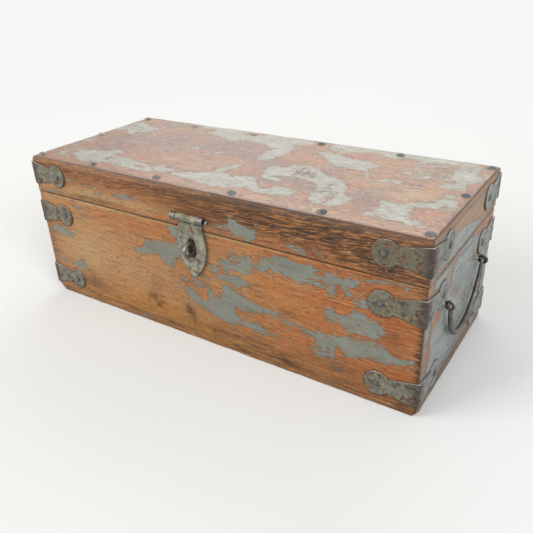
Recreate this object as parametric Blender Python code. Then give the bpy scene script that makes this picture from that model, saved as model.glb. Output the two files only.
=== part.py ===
"""A small chest of reclaimed boards, with a hinged lid, iron corner straps, a hasp and two bail handles.

Metres, +Z up. X runs along the chest and the front faces -Y. The origin is the middle of the underside.
"""

from math import asin, cos, pi, sin, sqrt

import bmesh
import bpy
from mathutils import Matrix, Vector

# The box: outer sizes, boards and gaps
LENGTH = 0.420
DEPTH = 0.174
BODY_HEIGHT = 0.1176
LID_HEIGHT = 0.0371
SEAM = 0.0005
LONG_WALL = 0.015
END_WALL = 0.012
BOTTOM_THICKNESS = 0.009
TOP_THICKNESS = 0.006
LID_OVERHANG = 0.0005
EASED_EDGE = 0.0006
TOUCH_GAP = 0.0003
CUT_OVERRUN = 0.002

# Corner straps: a flared leaf on each face, a neck, and a disc with one nail
STRAP_THICKNESS = 0.0012
STRAP_HEIGHT = 0.0246
STRAP_NECK = 0.0139
STRAP_DISC_RADIUS = 0.0113
STRAP_DISC_FROM_CORNER = 0.0337
STRAP_NAIL_PAST_CENTRE = 0.0013
STRAP_BEND = 0.0009
LOWER_STRAP_ABOVE_BOTTOM = 0.0003
UPPER_STRAP_BELOW_RIM = 0.0093
LID_STRAP_SHARE = 0.538

# Nails
STRAP_NAIL_HEAD_RADIUS = 0.0031
STRAP_NAIL_HEAD_HEIGHT = 0.0015
STRAP_NAIL_RADIUS = 0.0010
STRAP_NAIL_DEPTH_SHARE = 0.66
LID_NAIL_HEAD_RADIUS = 0.0041
LID_NAIL_HEAD_HEIGHT = 0.0020
LID_NAIL_RADIUS = 0.0011
LID_NAIL_LENGTH = 0.0155
LID_NAIL_PLACE_SHARES = (-1.0, -0.637, -0.234, 0.174, 0.588, 1.0)
LID_NAIL_FROM_FACE_SHARE = 0.6
LID_END_NAIL_SHIFT = 0.003
BOTTOM_NAIL_HEAD_RADIUS = 0.0026
BOTTOM_NAIL_HEAD_HEIGHT = 0.0010
BOTTOM_NAIL_RADIUS = 0.0009
BOTTOM_NAIL_LENGTH = 0.021
BOTTOM_NAIL_PLACE_SHARES = (-0.7, 0.0, 0.7)
NAIL_POINT_SHARE = 2.5
NAIL_SIDES = 10
HOLE_SIDES = 10

# Back hinges
HINGE_SPACING = 0.200
HINGE_WIDTH = 0.024
HINGE_LEAF_SHARE = 0.82
HINGE_LEAF_THICKNESS = 0.0013
HINGE_LEAF_CORNER = 0.005
HINGE_BARREL_RADIUS = 0.003
HINGE_PIN_RADIUS = 0.0013
HINGE_PIN_HEAD = 0.0008
HINGE_NAIL_SHARES = (0.42, 0.80)
HINGE_NAIL_HEAD_RADIUS = 0.0024
HINGE_NAIL_HEAD_HEIGHT = 0.0009
KNUCKLE_GAP = 0.0004
PIN_PLAY = 0.0003
ROUND_SIDES = 14

# Lock staple on the front board
STAPLE_BELOW_RIM = 0.018
STAPLE_WIRE_RADIUS = 0.0017
STAPLE_SPAN = 0.0117
STAPLE_REACH = 0.0145
STAPLE_DEPTH_SHARE = 0.8

# Hasp on the lid's front rail
HASP_SHIFT = -0.004
HASP_AXIS_RISE = 0.0114
HASP_LENGTH = 0.059
HASP_WIDTH = 0.0316
HASP_THICKNESS = 0.0016
HASP_BARREL_RADIUS = 0.0034
HASP_STANDOFF = 0.0013
HASP_WIDTH_SHARES = (
    (0.10, 0.80), (0.20, 0.87), (0.32, 0.95), (0.46, 1.0), (0.58, 0.98), (0.68, 0.89),
    (0.78, 0.73), (0.86, 0.56), (0.92, 0.39), (0.97, 0.20),
)
HASP_BARREL_SHARE = 0.77
HASP_SLOT_SIDE_PLAY = 0.0025
HASP_SLOT_END_PLAY = 0.0014
HASP_PIN_RADIUS = 0.00135
HASP_PIN_HEAD_RADIUS = 0.0022
HASP_PIN_HEAD = 0.0012
HASP_PIN_LEFT_END = 0.0010
HASP_PIN_RIGHT_END = 0.0040
HASP_EYE_WIDTH = 0.0054
HASP_EYE_RADIUS = 0.0039
HASP_EYE_SHANK_RADIUS = 0.0015
HASP_EYE_DEPTH_SHARE = 0.65

# Handles on the ends: a bail in two eye staples whose tails are clenched inside
EYE_FROM_DISC = 0.0037
EYE_DISC_RISE_SHARE = 0.833
EYE_WIRE_RADIUS = 0.0014
EYE_STANDOFF = 0.0006
EYE_TAIL = 0.008
EYE_TAIL_BEND = 0.0022
BAIL_END_RADIUS = 0.00145
BAIL_MIDDLE_RADIUS = 0.0028
BAIL_DROP = 0.0445
BAIL_PLAY = 0.00045
BAIL_BEND = 0.0026
BAIL_LEG_INBOARD = 0.0036
BAIL_KNOB_RADIUS = 0.0022
BAIL_KNOB_LENGTH = 0.0014
BAIL_KNOB_CHAMFER = 0.0003
BAIL_KNOB_PLAY = 0.0006
BAR_SIDES = 10
WIRE_SIDES = 8

# Places worked out from the sizes above
LID_BASE = BODY_HEIGHT + SEAM
TOTAL_HEIGHT = LID_BASE + LID_HEIGHT
WALL_BASE = BOTTOM_THICKNESS + TOUCH_GAP
RAIL_TOP = TOTAL_HEIGHT - TOP_THICKNESS - TOUCH_GAP
STRAP_NAIL_FROM_CORNER = STRAP_DISC_FROM_CORNER + STRAP_NAIL_PAST_CENTRE
LOWER_STRAP_Z = BOTTOM_THICKNESS + LOWER_STRAP_ABOVE_BOTTOM + STRAP_HEIGHT / 2
UPPER_STRAP_Z = BODY_HEIGHT - UPPER_STRAP_BELOW_RIM - STRAP_HEIGHT / 2
LID_STRAP_Z = LID_BASE + LID_HEIGHT * LID_STRAP_SHARE
HINGE_AXIS = Vector((0, DEPTH / 2 + TOUCH_GAP + HINGE_BARREL_RADIUS, BODY_HEIGHT + SEAM / 2))
STAPLE_Z = BODY_HEIGHT - STAPLE_BELOW_RIM
HASP_AXIS = Vector((HASP_SHIFT, -DEPTH / 2 - HASP_STANDOFF - HASP_BARREL_RADIUS, LID_BASE + HASP_AXIS_RISE))
EYE_RING_RADIUS = BAIL_END_RADIUS + BAIL_PLAY + EYE_WIRE_RADIUS
EYE_OUT = EYE_STANDOFF + EYE_RING_RADIUS + EYE_WIRE_RADIUS
EYE_DISTANCE = STRAP_DISC_RADIUS + EYE_FROM_DISC
EYE_Z = UPPER_STRAP_Z - EYE_DISTANCE * EYE_DISC_RISE_SHARE
EYE_Y = DEPTH / 2 - STRAP_DISC_FROM_CORNER - EYE_DISTANCE * sqrt(1 - EYE_DISC_RISE_SHARE**2)

WOOD = ((0.37, 0.16, 0.07), 0.55, 0.0)
LID_WOOD = ((0.30, 0.14, 0.07), 0.35, 0.0)
PAINTED_IRON = ((0.22, 0.24, 0.22), 0.60, 0.6)
DARK_IRON = ((0.10, 0.09, 0.08), 0.50, 0.9)
BARE_STEEL = ((0.45, 0.44, 0.42), 0.35, 1.0)

ENDS = {"left": -1, "right": 1}
FACES = {"front": -1, "back": 1}


def clear_scene():
    for obj in list(bpy.data.objects):
        bpy.data.objects.remove(obj, do_unlink=True)


def new_empty(name, location):
    """An empty that stands for a joint's axis or for the fixed body."""
    empty = bpy.data.objects.new(name, None)
    empty.location = location
    bpy.context.scene.collection.objects.link(empty)
    return empty


def new_object(name, bm, location=(0, 0, 0)):
    """An object with this mesh, its faces pointing out and its rounds shaded smooth."""
    bmesh.ops.recalc_face_normals(bm, faces=bm.faces)
    mesh = bpy.data.meshes.new(name)
    bm.to_mesh(mesh)
    bm.free()
    mesh.shade_smooth()
    mesh.set_sharp_from_angle(angle=pi / 5)
    obj = bpy.data.objects.new(name, mesh)
    obj.location = location
    bpy.context.scene.collection.objects.link(obj)
    return obj


def piece(name, bm, location, finish, carrier):
    """A sub-part with a material of its own, carried by an empty."""
    obj = new_object(name, bm, location)
    colour, roughness, metallic = finish
    material = bpy.data.materials.new(name + "_finish")
    material.use_nodes = True
    shader = material.node_tree.nodes["Principled BSDF"]
    shader.inputs["Base Color"].default_value = (*colour, 1.0)
    shader.inputs["Roughness"].default_value = roughness
    shader.inputs["Metallic"].default_value = metallic
    obj.data.materials.append(material)
    obj.parent = carrier
    obj.matrix_parent_inverse = Matrix.Translation(-carrier.location)
    return obj


def combine(obj, bm, location, operation):
    """Adds a Boolean with a hidden tool of this mesh."""
    tool = new_object(f"{obj.name}_{operation.lower()}_{len(obj.modifiers)}", bm, location)
    tool.hide_render = True
    tool.display_type = "WIRE"
    step = obj.modifiers.new(tool.name, "BOOLEAN")
    step.operation = operation
    step.object = tool


def block(size):
    """A box centred on its origin."""
    bm = bmesh.new()
    bmesh.ops.create_cube(bm, size=1, matrix=Matrix.Diagonal((*size, 1)))
    return bm


def slab(outline, axis, low, high):
    """A flat outline made thick along X, Y or Z, numbered 0, 1 and 2."""
    bm = bmesh.new()

    def corner(point, along):
        spot = list(point)
        spot.insert(axis, along)
        return bm.verts.new(spot)

    near = [corner(p, low) for p in outline]
    far = [corner(p, high) for p in outline]
    bm.faces.new(near)
    bm.faces.new(far)
    for i in range(len(outline)):
        j = (i + 1) % len(outline)
        bm.faces.new((near[i], near[j], far[j], far[i]))
    return bm


def arc(centre, radius, start, end, steps):
    """Points round part of a circle, as (a, b) pairs, with both ends."""
    angles = [start + (end - start) * k / steps for k in range(steps + 1)]
    return [(centre[0] + radius * cos(a), centre[1] + radius * sin(a)) for a in angles]


def turned(profile, sides, direction=Vector((0, 0, 1))):
    """A round body about a direction, from (radius, height) points that start and end on its axis."""
    bm = bmesh.new()
    turn = Vector((0, 0, 1)).rotation_difference(direction).to_matrix()
    tip = bm.verts.new(turn @ Vector((0, 0, profile[0][1])))
    foot = bm.verts.new(turn @ Vector((0, 0, profile[-1][1])))
    rings = []
    for radius, height in profile[1:-1]:
        spots = arc((0, 0), radius, 0, 2 * pi, sides)[:-1]
        rings.append([bm.verts.new(turn @ Vector((a, b, height))) for a, b in spots])
    for k in range(sides):
        m = (k + 1) % sides
        bm.faces.new((tip, rings[0][k], rings[0][m]))
        bm.faces.new((foot, rings[-1][m], rings[-1][k]))
        for upper, lower in zip(rings, rings[1:]):
            bm.faces.new((upper[k], lower[k], lower[m], upper[m]))
    return bm


def rod(radius, low, high, sides, direction):
    """A plain cylinder between two heights along a direction."""
    return turned([(0, high), (radius, high), (radius, low), (0, low)], sides, direction)


def swept(points, radii, sides, closed=False):
    """A round bar through the points, with its own radius at each."""
    bm = bmesh.new()
    count = len(points)
    rings = []
    normal = None
    before = None
    for i, point in enumerate(points):
        ahead = points[(i + 1) % count] if closed else points[min(i + 1, count - 1)]
        behind = points[i - 1] if closed else points[max(i - 1, 0)]
        tangent = (ahead - behind).normalized()
        if before is None:
            normal = tangent.orthogonal().normalized()
        else:
            normal = before.rotation_difference(tangent) @ normal
        before = tangent
        side = tangent.cross(normal)
        spots = arc((0, 0), radii[i], 0, 2 * pi, sides)[:-1]
        rings.append([bm.verts.new(point + a * normal + b * side) for a, b in spots])
    pairs = list(zip(rings, rings[1:])) + ([(rings[-1], rings[0])] if closed else [])
    for one, two in pairs:
        for k in range(sides):
            m = (k + 1) % sides
            bm.faces.new((one[k], one[m], two[m], two[k]))
    if not closed:
        bm.faces.new(rings[0])
        bm.faces.new(rings[-1])
    return bm


def drill(board, holes):
    """Cuts round holes, each given as its mouth, direction, radius and depth."""
    bm = bmesh.new()
    for mouth, direction, radius, depth in holes:
        hole = rod(radius, -CUT_OVERRUN, depth, HOLE_SIDES, direction)
        bmesh.ops.translate(hole, verts=hole.verts, vec=mouth)
        scratch = bpy.data.meshes.new("hole")
        hole.to_mesh(scratch)
        hole.free()
        bm.from_mesh(scratch)
        bpy.data.meshes.remove(scratch)
    combine(board, bm, (0, 0, 0), "DIFFERENCE")


def nail_profile(head_radius, head_height, radius, length, sunk=0.0):
    """A domed head above height 0 and a pointed shank below it. The rim can start sunk below height 0."""
    sphere = (head_radius**2 + head_height**2) / (2 * head_height)
    widest = asin(head_radius / sphere)
    dome = [(sphere * sin(a), head_height - sphere * (1 - cos(a))) for a in (widest / 2, widest)]
    under = [(head_radius, -sunk), (radius, -sunk)] if sunk else [(radius, 0)]
    point = radius * NAIL_POINT_SHARE
    return [(0, head_height), *dome, *under, (radius, point - length), (0, -length)]


def board(name, low, high, carrier, finish=WOOD):
    """A plank with eased edges between two corners."""
    low, high = Vector(low), Vector(high)
    obj = piece(name, block(high - low), (low + high) / 2, finish, carrier)
    ease = obj.modifiers.new("eased_edges", "BEVEL")
    ease.width = EASED_EDGE
    ease.segments = 1
    ease.limit_method = "ANGLE"
    return obj


def strap_nail_spots(half_length, height):
    """Where the eight strap nails of one level enter the wood: face name, end name, spot and direction in."""
    spots = []
    for end, sx in ENDS.items():
        for face, sy in FACES.items():
            along = Vector((sx * (half_length - STRAP_NAIL_FROM_CORNER), sy * DEPTH / 2, height))
            across = Vector((sx * half_length, sy * (DEPTH / 2 - STRAP_NAIL_FROM_CORNER), height))
            spots.append((face, along, Vector((0, -sy, 0))))
            spots.append((end, across, Vector((-sx, 0, 0))))
    return spots


def strap_nail_holes(where, half_length, heights):
    """Holes for the strap nails that enter one wall."""
    depth = END_WALL * STRAP_NAIL_DEPTH_SHARE + TOUCH_GAP
    radius = STRAP_NAIL_RADIUS + TOUCH_GAP
    holes = []
    for height in heights:
        for wall, spot, inward in strap_nail_spots(half_length, height):
            if wall == where:
                holes.append((spot, inward, radius, depth))
    return holes


def hinge_nail_spots(sign):
    """Where a leaf's nails stand, as heights from the hinge axis. The sign is +1 on the lid and -1 below."""
    return [sign * share * LID_HEIGHT * HINGE_LEAF_SHARE for share in HINGE_NAIL_SHARES]


def hinge_nail_holes(sign):
    depth = END_WALL * STRAP_NAIL_DEPTH_SHARE + TOUCH_GAP
    holes = []
    for sx in ENDS.values():
        for rise in hinge_nail_spots(sign):
            mouth = Vector((sx * HINGE_SPACING / 2, DEPTH / 2, HINGE_AXIS.z + rise))
            holes.append((mouth, Vector((0, -1, 0)), STRAP_NAIL_RADIUS + TOUCH_GAP, depth))
    return holes


def bottom_nail_spots(sy):
    middle = DEPTH / 2 - LONG_WALL / 2
    return [Vector((share * LENGTH / 2, sy * middle, 0)) for share in BOTTOM_NAIL_PLACE_SHARES]


def lid_nail_spots(where):
    """Places of the domed nails along one edge of the lid, on top of the top board."""
    reach = LENGTH / 2 + LID_OVERHANG - END_WALL / 2
    top = TOTAL_HEIGHT
    if where in ENDS:
        return [Vector((ENDS[where] * reach, LID_END_NAIL_SHIFT, top))]
    y = FACES[where] * (DEPTH / 2 - LONG_WALL * LID_NAIL_FROM_FACE_SHARE)
    return [Vector((share * reach, y, top)) for share in LID_NAIL_PLACE_SHARES]


def eye_spots():
    """The four eye staples of the handles: end, face, ring centre and direction into the wood."""
    spots = []
    for end, sx in ENDS.items():
        for face, sy in FACES.items():
            centre = Vector((sx * (LENGTH / 2 + EYE_OUT), sy * EYE_Y, EYE_Z))
            spots.append((end, face, centre, Vector((-sx, 0, 0))))
    return spots


def hasp_eye_spots():
    """The centres of the two eyes that hold the hasp's pin."""
    reach = HASP_WIDTH * HASP_BARREL_SHARE / 2 + KNUCKLE_GAP + HASP_EYE_WIDTH / 2
    return {end: HASP_AXIS + Vector((sx * reach, 0, 0)) for end, sx in ENDS.items()}


def make_body_boards(chest):
    half_l = LENGTH / 2
    half_d = DEPTH / 2
    up = Vector((0, 0, 1))
    bottom = board("bottom_board", (-half_l, -half_d, 0), (half_l, half_d, BOTTOM_THICKNESS), chest)
    head = BOTTOM_NAIL_HEAD_HEIGHT + 2 * TOUCH_GAP
    spots = [spot for sy in FACES.values() for spot in bottom_nail_spots(sy)]
    through = BOTTOM_THICKNESS + CUT_OVERRUN
    drill(bottom, [(spot, up, BOTTOM_NAIL_RADIUS + TOUCH_GAP, through) for spot in spots])
    drill(bottom, [(spot, up, BOTTOM_NAIL_HEAD_RADIUS + TOUCH_GAP, head) for spot in spots])

    for face, sy in FACES.items():
        outer, inner = sy * half_d, sy * (half_d - LONG_WALL)
        low = (-half_l, min(outer, inner), WALL_BASE)
        wall = board(face + "_board", low, (half_l, max(outer, inner), BODY_HEIGHT), chest)
        holes = strap_nail_holes(face, half_l, (LOWER_STRAP_Z, UPPER_STRAP_Z))
        for spot in bottom_nail_spots(sy):
            mouth = Vector((spot.x, spot.y, WALL_BASE))
            holes.append((mouth, up, BOTTOM_NAIL_RADIUS + TOUCH_GAP, BOTTOM_NAIL_LENGTH - BOTTOM_THICKNESS))
        if face == "front":
            depth = LONG_WALL * STAPLE_DEPTH_SHARE + TOUCH_GAP
            for rise in (-STAPLE_SPAN / 2, STAPLE_SPAN / 2):
                mouth = Vector((HASP_SHIFT, -half_d, STAPLE_Z + rise))
                holes.append((mouth, Vector((0, 1, 0)), STAPLE_WIRE_RADIUS + TOUCH_GAP, depth))
        else:
            holes += hinge_nail_holes(-1)
        drill(wall, holes)

    for end, sx in ENDS.items():
        outer, inner = sx * half_l, sx * (half_l - END_WALL)
        reach = half_d - LONG_WALL - TOUCH_GAP
        low = (min(outer, inner), -reach, WALL_BASE)
        wall = board(end + "_end_board", low, (max(outer, inner), reach, BODY_HEIGHT), chest)
        holes = strap_nail_holes(end, half_l, (LOWER_STRAP_Z, UPPER_STRAP_Z))
        for where, _, centre, inward in eye_spots():
            if where == end:
                mouth = Vector((outer, centre.y, centre.z))
                holes.append((mouth, inward, EYE_WIRE_RADIUS + TOUCH_GAP, END_WALL + CUT_OVERRUN))
        drill(wall, holes)


def make_lid_boards(lid):
    half_l = LENGTH / 2 + LID_OVERHANG
    half_d = DEPTH / 2
    down = Vector((0, 0, -1))
    low = (-half_l, -half_d, TOTAL_HEIGHT - TOP_THICKNESS)
    top = board("lid_top_board", low, (half_l, half_d, TOTAL_HEIGHT), lid, LID_WOOD)
    wheres = [*FACES, *ENDS]
    radius = LID_NAIL_RADIUS + TOUCH_GAP
    through = TOP_THICKNESS + CUT_OVERRUN
    drill(top, [(spot, down, radius, through) for where in wheres for spot in lid_nail_spots(where)])

    rails = {}
    for face, sy in FACES.items():
        outer, inner = sy * half_d, sy * (half_d - LONG_WALL)
        low = (-half_l, min(outer, inner), LID_BASE)
        rails[face] = board(f"lid_{face}_rail", low, (half_l, max(outer, inner), RAIL_TOP), lid, LID_WOOD)
    for end, sx in ENDS.items():
        outer, inner = sx * half_l, sx * (half_l - END_WALL)
        reach = half_d - LONG_WALL - TOUCH_GAP
        low = (min(outer, inner), -reach, LID_BASE)
        rails[end] = board(f"lid_{end}_rail", low, (max(outer, inner), reach, RAIL_TOP), lid, LID_WOOD)

    for where, rail in rails.items():
        holes = strap_nail_holes(where, half_l, (LID_STRAP_Z,))
        for spot in lid_nail_spots(where):
            mouth = Vector((spot.x, spot.y, RAIL_TOP))
            holes.append((mouth, down, radius, LID_NAIL_LENGTH - TOP_THICKNESS))
        if where == "front":
            for centre in hasp_eye_spots().values():
                mouth = Vector((centre.x, -half_d, centre.z))
                depth = LONG_WALL * HASP_EYE_DEPTH_SHARE + TOUCH_GAP
                holes.append((mouth, Vector((0, 1, 0)), HASP_EYE_SHANK_RADIUS + TOUCH_GAP, depth))
        if where == "back":
            holes += hinge_nail_holes(1)
        drill(rail, holes)


def strap_outline():
    """One leaf's edge from its upper corner round the disc to its lower corner, as (from corner, height)."""
    start = pi - asin(STRAP_NECK / 2 / STRAP_DISC_RADIUS)
    return arc((STRAP_DISC_FROM_CORNER, 0), STRAP_DISC_RADIUS, start, -start, 15)


def strap_mesh(sx, sy):
    """A strip bent round a vertical corner at the origin, with a leaf on each face."""
    bm = bmesh.new()
    inner = TOUCH_GAP
    outer = TOUCH_GAP + STRAP_THICKNESS
    half = STRAP_HEIGHT / 2
    layers = {}
    for off in (inner, outer):
        corner = [bm.verts.new((sx * off, sy * off, z)) for z in (half, -half)]
        on_face = [bm.verts.new((-sx * u, sy * off, v)) for u, v in strap_outline()]
        on_end = [bm.verts.new((sx * off, -sy * u, v)) for u, v in strap_outline()]
        layers[off] = [[corner[0], *leaf, corner[1]] for leaf in (on_face, on_end)]
        for leaf in layers[off]:
            bm.faces.new(leaf)
    for near, far in zip(layers[inner], layers[outer]):
        for k in range(len(near) - 1):
            bm.faces.new((near[k], near[k + 1], far[k + 1], far[k]))
    bend = [layers[outer][0][0], layers[outer][0][-1]]
    edge = bm.edges.get(bend)
    bmesh.ops.recalc_face_normals(bm, faces=bm.faces)
    bmesh.ops.bevel(bm, geom=[edge], offset=STRAP_BEND, segments=2, profile=0.5, affect="EDGES")
    return bm


def make_straps(level, half_length, height, carrier):
    """The four corner straps of one level, each with its two nails."""
    depth = STRAP_THICKNESS + TOUCH_GAP + END_WALL * STRAP_NAIL_DEPTH_SHARE
    profile = nail_profile(
        STRAP_NAIL_HEAD_RADIUS, STRAP_NAIL_HEAD_HEIGHT, STRAP_NAIL_RADIUS, depth, STRAP_THICKNESS / 2
    )
    for end, sx in ENDS.items():
        for face, sy in FACES.items():
            corner = Vector((sx * half_length, sy * DEPTH / 2, height))
            strap = piece(f"{level}_strap_{face}_{end}", strap_mesh(sx, sy), corner, PAINTED_IRON, carrier)
            lift = TOUCH_GAP + STRAP_THICKNESS
            along = corner + Vector((-sx * STRAP_NAIL_FROM_CORNER, sy * lift, 0))
            across = corner + Vector((sx * lift, -sy * STRAP_NAIL_FROM_CORNER, 0))
            for spot, outward in ((along, Vector((0, sy, 0))), (across, Vector((sx, 0, 0)))):
                combine(strap, turned(profile, NAIL_SIDES, outward), spot, "UNION")


def make_lid_nails(lid):
    profile = nail_profile(LID_NAIL_HEAD_RADIUS, LID_NAIL_HEAD_HEIGHT, LID_NAIL_RADIUS, LID_NAIL_LENGTH)
    lift = Vector((0, 0, TOUCH_GAP))
    for where in (*FACES, *ENDS):
        spots = lid_nail_spots(where)
        for number, spot in enumerate(spots, 1):
            name = f"lid_nail_{where}" + (f"_{number}" if len(spots) > 1 else "")
            piece(name, turned(profile, NAIL_SIDES), spot + lift, DARK_IRON, lid)


def make_bottom_nails(chest):
    """Flat heads let into the underside, a touch above the surface that the chest stands on."""
    head = BOTTOM_NAIL_HEAD_HEIGHT
    shank_top = BOTTOM_NAIL_LENGTH - BOTTOM_NAIL_RADIUS * NAIL_POINT_SHARE
    profile = [
        (0, 0), (BOTTOM_NAIL_HEAD_RADIUS, 0), (BOTTOM_NAIL_HEAD_RADIUS, head), (BOTTOM_NAIL_RADIUS, head),
        (BOTTOM_NAIL_RADIUS, shank_top), (0, BOTTOM_NAIL_LENGTH),
    ]
    for face, sy in FACES.items():
        for number, spot in enumerate(bottom_nail_spots(sy), 1):
            spot = spot + Vector((0, 0, TOUCH_GAP))
            piece(f"bottom_nail_{face}_{number}", turned(profile, NAIL_SIDES), spot, DARK_IRON, chest)


def knuckle(radius, thickness, reach, sign, low, high):
    """A rolled barrel about X on the end of a leaf whose wood side is tangent to it.

    The wood lies towards -Y. The leaf runs up from the barrel with sign +1 and down with -1.
    """
    inside = asin((radius - thickness) / radius)
    outline = [(-radius, sign * reach)]
    outline += arc((0, 0), radius, pi, sign * (pi / 2 + inside), 12) if sign < 0 else []
    outline += arc((0, 0), radius, -pi, pi / 2 + inside, 12) if sign > 0 else []
    outline.append((thickness - radius, sign * reach))
    return slab(outline, 0, low, high)


def make_hinges(chest, lid):
    radius = HINGE_BARREL_RADIUS
    thickness = HINGE_LEAF_THICKNESS
    leaf = LID_HEIGHT * HINGE_LEAF_SHARE
    start = radius + KNUCKLE_GAP
    half = HINGE_WIDTH / 2
    knuckle_width = (HINGE_WIDTH - 2 * KNUCKLE_GAP) / 3
    inner = knuckle_width / 2
    outer_spans = ((-half, -inner - KNUCKLE_GAP), (inner + KNUCKLE_GAP, half))
    nail = nail_profile(
        HINGE_NAIL_HEAD_RADIUS, HINGE_NAIL_HEAD_HEIGHT, STRAP_NAIL_RADIUS,
        thickness + TOUCH_GAP + END_WALL * STRAP_NAIL_DEPTH_SHARE, thickness / 2,
    )
    leaves = (("lid", 1, lid, ((-inner, inner),)), ("body", -1, chest, outer_spans))
    out = Vector((0, 1, 0))
    for end, sx in ENDS.items():
        axis = HINGE_AXIS + Vector((sx * HINGE_SPACING / 2, 0, 0))
        for part, sign, carrier, spans in leaves:
            shoulder = leaf - HINGE_LEAF_CORNER
            edge = [
                (-half, sign * start), (half, sign * start), (half, sign * shoulder),
                (half - HINGE_LEAF_CORNER, sign * leaf), (HINGE_LEAF_CORNER - half, sign * leaf),
                (-half, sign * shoulder),
            ]
            plate = slab(edge, 1, -radius, thickness - radius)
            obj = piece(f"hinge_{part}_leaf_{end}", plate, axis, DARK_IRON, carrier)
            for low, high in spans:
                rolled = knuckle(radius, thickness, start + thickness, sign, low, high)
                combine(obj, rolled, axis, "UNION")
            for rise in hinge_nail_spots(sign):
                spot = axis + Vector((0, thickness - radius, rise))
                combine(obj, turned(nail, NAIL_SIDES, out), spot, "UNION")
            across = Vector((1, 0, 0))
            bore = rod(HINGE_PIN_RADIUS + PIN_PLAY, -HINGE_WIDTH, HINGE_WIDTH, ROUND_SIDES, across)
            combine(obj, bore, axis, "DIFFERENCE")
        pin = headed_pin(HINGE_PIN_RADIUS, -half, half, radius - PIN_PLAY * 2, HINGE_PIN_HEAD)
        piece(f"hinge_pin_{end}", pin, axis, DARK_IRON, chest)


def headed_pin(radius, low, high, head_radius, head):
    """A pin along X whose two heads stand a little outside the span from low to high."""
    low, high = low - TOUCH_GAP, high + TOUCH_GAP
    profile = [
        (0, high + head), (head_radius, high + head), (head_radius, high), (radius, high),
        (radius, low), (head_radius, low), (head_radius, low - head), (0, low - head),
    ]
    return turned(profile, HOLE_SIDES, Vector((1, 0, 0)))


def make_lock_staple(chest):
    """A wire loop that stands upright on the front board, through the hasp's slot."""
    bow = STAPLE_SPAN / 2
    out = STAPLE_REACH - STAPLE_WIRE_RADIUS - bow
    depth = LONG_WALL * STAPLE_DEPTH_SHARE
    loop = arc((-out, 0), bow, -pi / 2, -3 * pi / 2, 8)
    spine = [(depth, -bow), (-out / 2, -bow), *loop, (-out / 2, bow), (depth, bow)]
    points = [Vector((0, y, z)) for y, z in spine]
    radii = [STAPLE_WIRE_RADIUS] * len(points)
    place = Vector((HASP_SHIFT, -DEPTH / 2, STAPLE_Z))
    piece("lock_staple", swept(points, radii, BAR_SIDES), place, DARK_IRON, chest)


def make_hasp(hasp, lid):
    """The plate with its barrel and slot, its pin, and the two eyes that hold the pin."""
    radius = HASP_BARREL_RADIUS
    half_barrel = HASP_WIDTH * HASP_BARREL_SHARE / 2
    right = [(HASP_WIDTH / 2 * w, -HASP_LENGTH * s) for s, w in HASP_WIDTH_SHARES]
    left = [(-x, z) for x, z in reversed(right)]
    neck = -radius - HASP_THICKNESS
    edge = [(half_barrel, neck), *right, (0, -HASP_LENGTH), *left, (-half_barrel, neck)]
    plate = piece("hasp_plate", slab(edge, 1, radius - HASP_THICKNESS, radius), HASP_AXIS, PAINTED_IRON, hasp)
    rolled = knuckle(radius, HASP_THICKNESS, -neck + HASP_THICKNESS, -1, -half_barrel, half_barrel)
    bmesh.ops.scale(rolled, verts=rolled.verts, vec=(1, -1, 1))
    combine(plate, rolled, HASP_AXIS, "UNION")
    slot_wide = 2 * (STAPLE_WIRE_RADIUS + HASP_SLOT_SIDE_PLAY)
    slot_tall = STAPLE_SPAN + 2 * (STAPLE_WIRE_RADIUS + HASP_SLOT_END_PLAY)
    slot = block((slot_wide, 2 * (radius + CUT_OVERRUN), slot_tall))
    combine(plate, slot, Vector((HASP_AXIS.x, HASP_AXIS.y, STAPLE_Z)), "DIFFERENCE")
    across = Vector((1, 0, 0))
    bore = rod(HASP_PIN_RADIUS + PIN_PLAY, -HASP_WIDTH, HASP_WIDTH, ROUND_SIDES, across)
    combine(plate, bore, HASP_AXIS, "DIFFERENCE")

    reach = half_barrel + KNUCKLE_GAP + HASP_EYE_WIDTH
    low, high = -reach - HASP_PIN_LEFT_END, reach + HASP_PIN_RIGHT_END
    pin = headed_pin(HASP_PIN_RADIUS, low, high, HASP_PIN_HEAD_RADIUS, HASP_PIN_HEAD)
    piece("hasp_pin", pin, HASP_AXIS, BARE_STEEL, lid)

    into_wood = -DEPTH / 2 + LONG_WALL * HASP_EYE_DEPTH_SHARE - HASP_AXIS.y
    for end, centre in hasp_eye_spots().items():
        ring = rod(HASP_EYE_RADIUS, -HASP_EYE_WIDTH / 2, HASP_EYE_WIDTH / 2, ROUND_SIDES, across)
        eye = piece(f"hasp_eye_{end}", ring, centre, BARE_STEEL, lid)
        shank = rod(HASP_EYE_SHANK_RADIUS, 0, into_wood, NAIL_SIDES, Vector((0, 1, 0)))
        combine(eye, shank, centre, "UNION")
        hole = rod(HASP_PIN_RADIUS + PIN_PLAY, -HASP_EYE_WIDTH, HASP_EYE_WIDTH, ROUND_SIDES, across)
        combine(eye, hole, centre, "DIFFERENCE")


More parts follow.
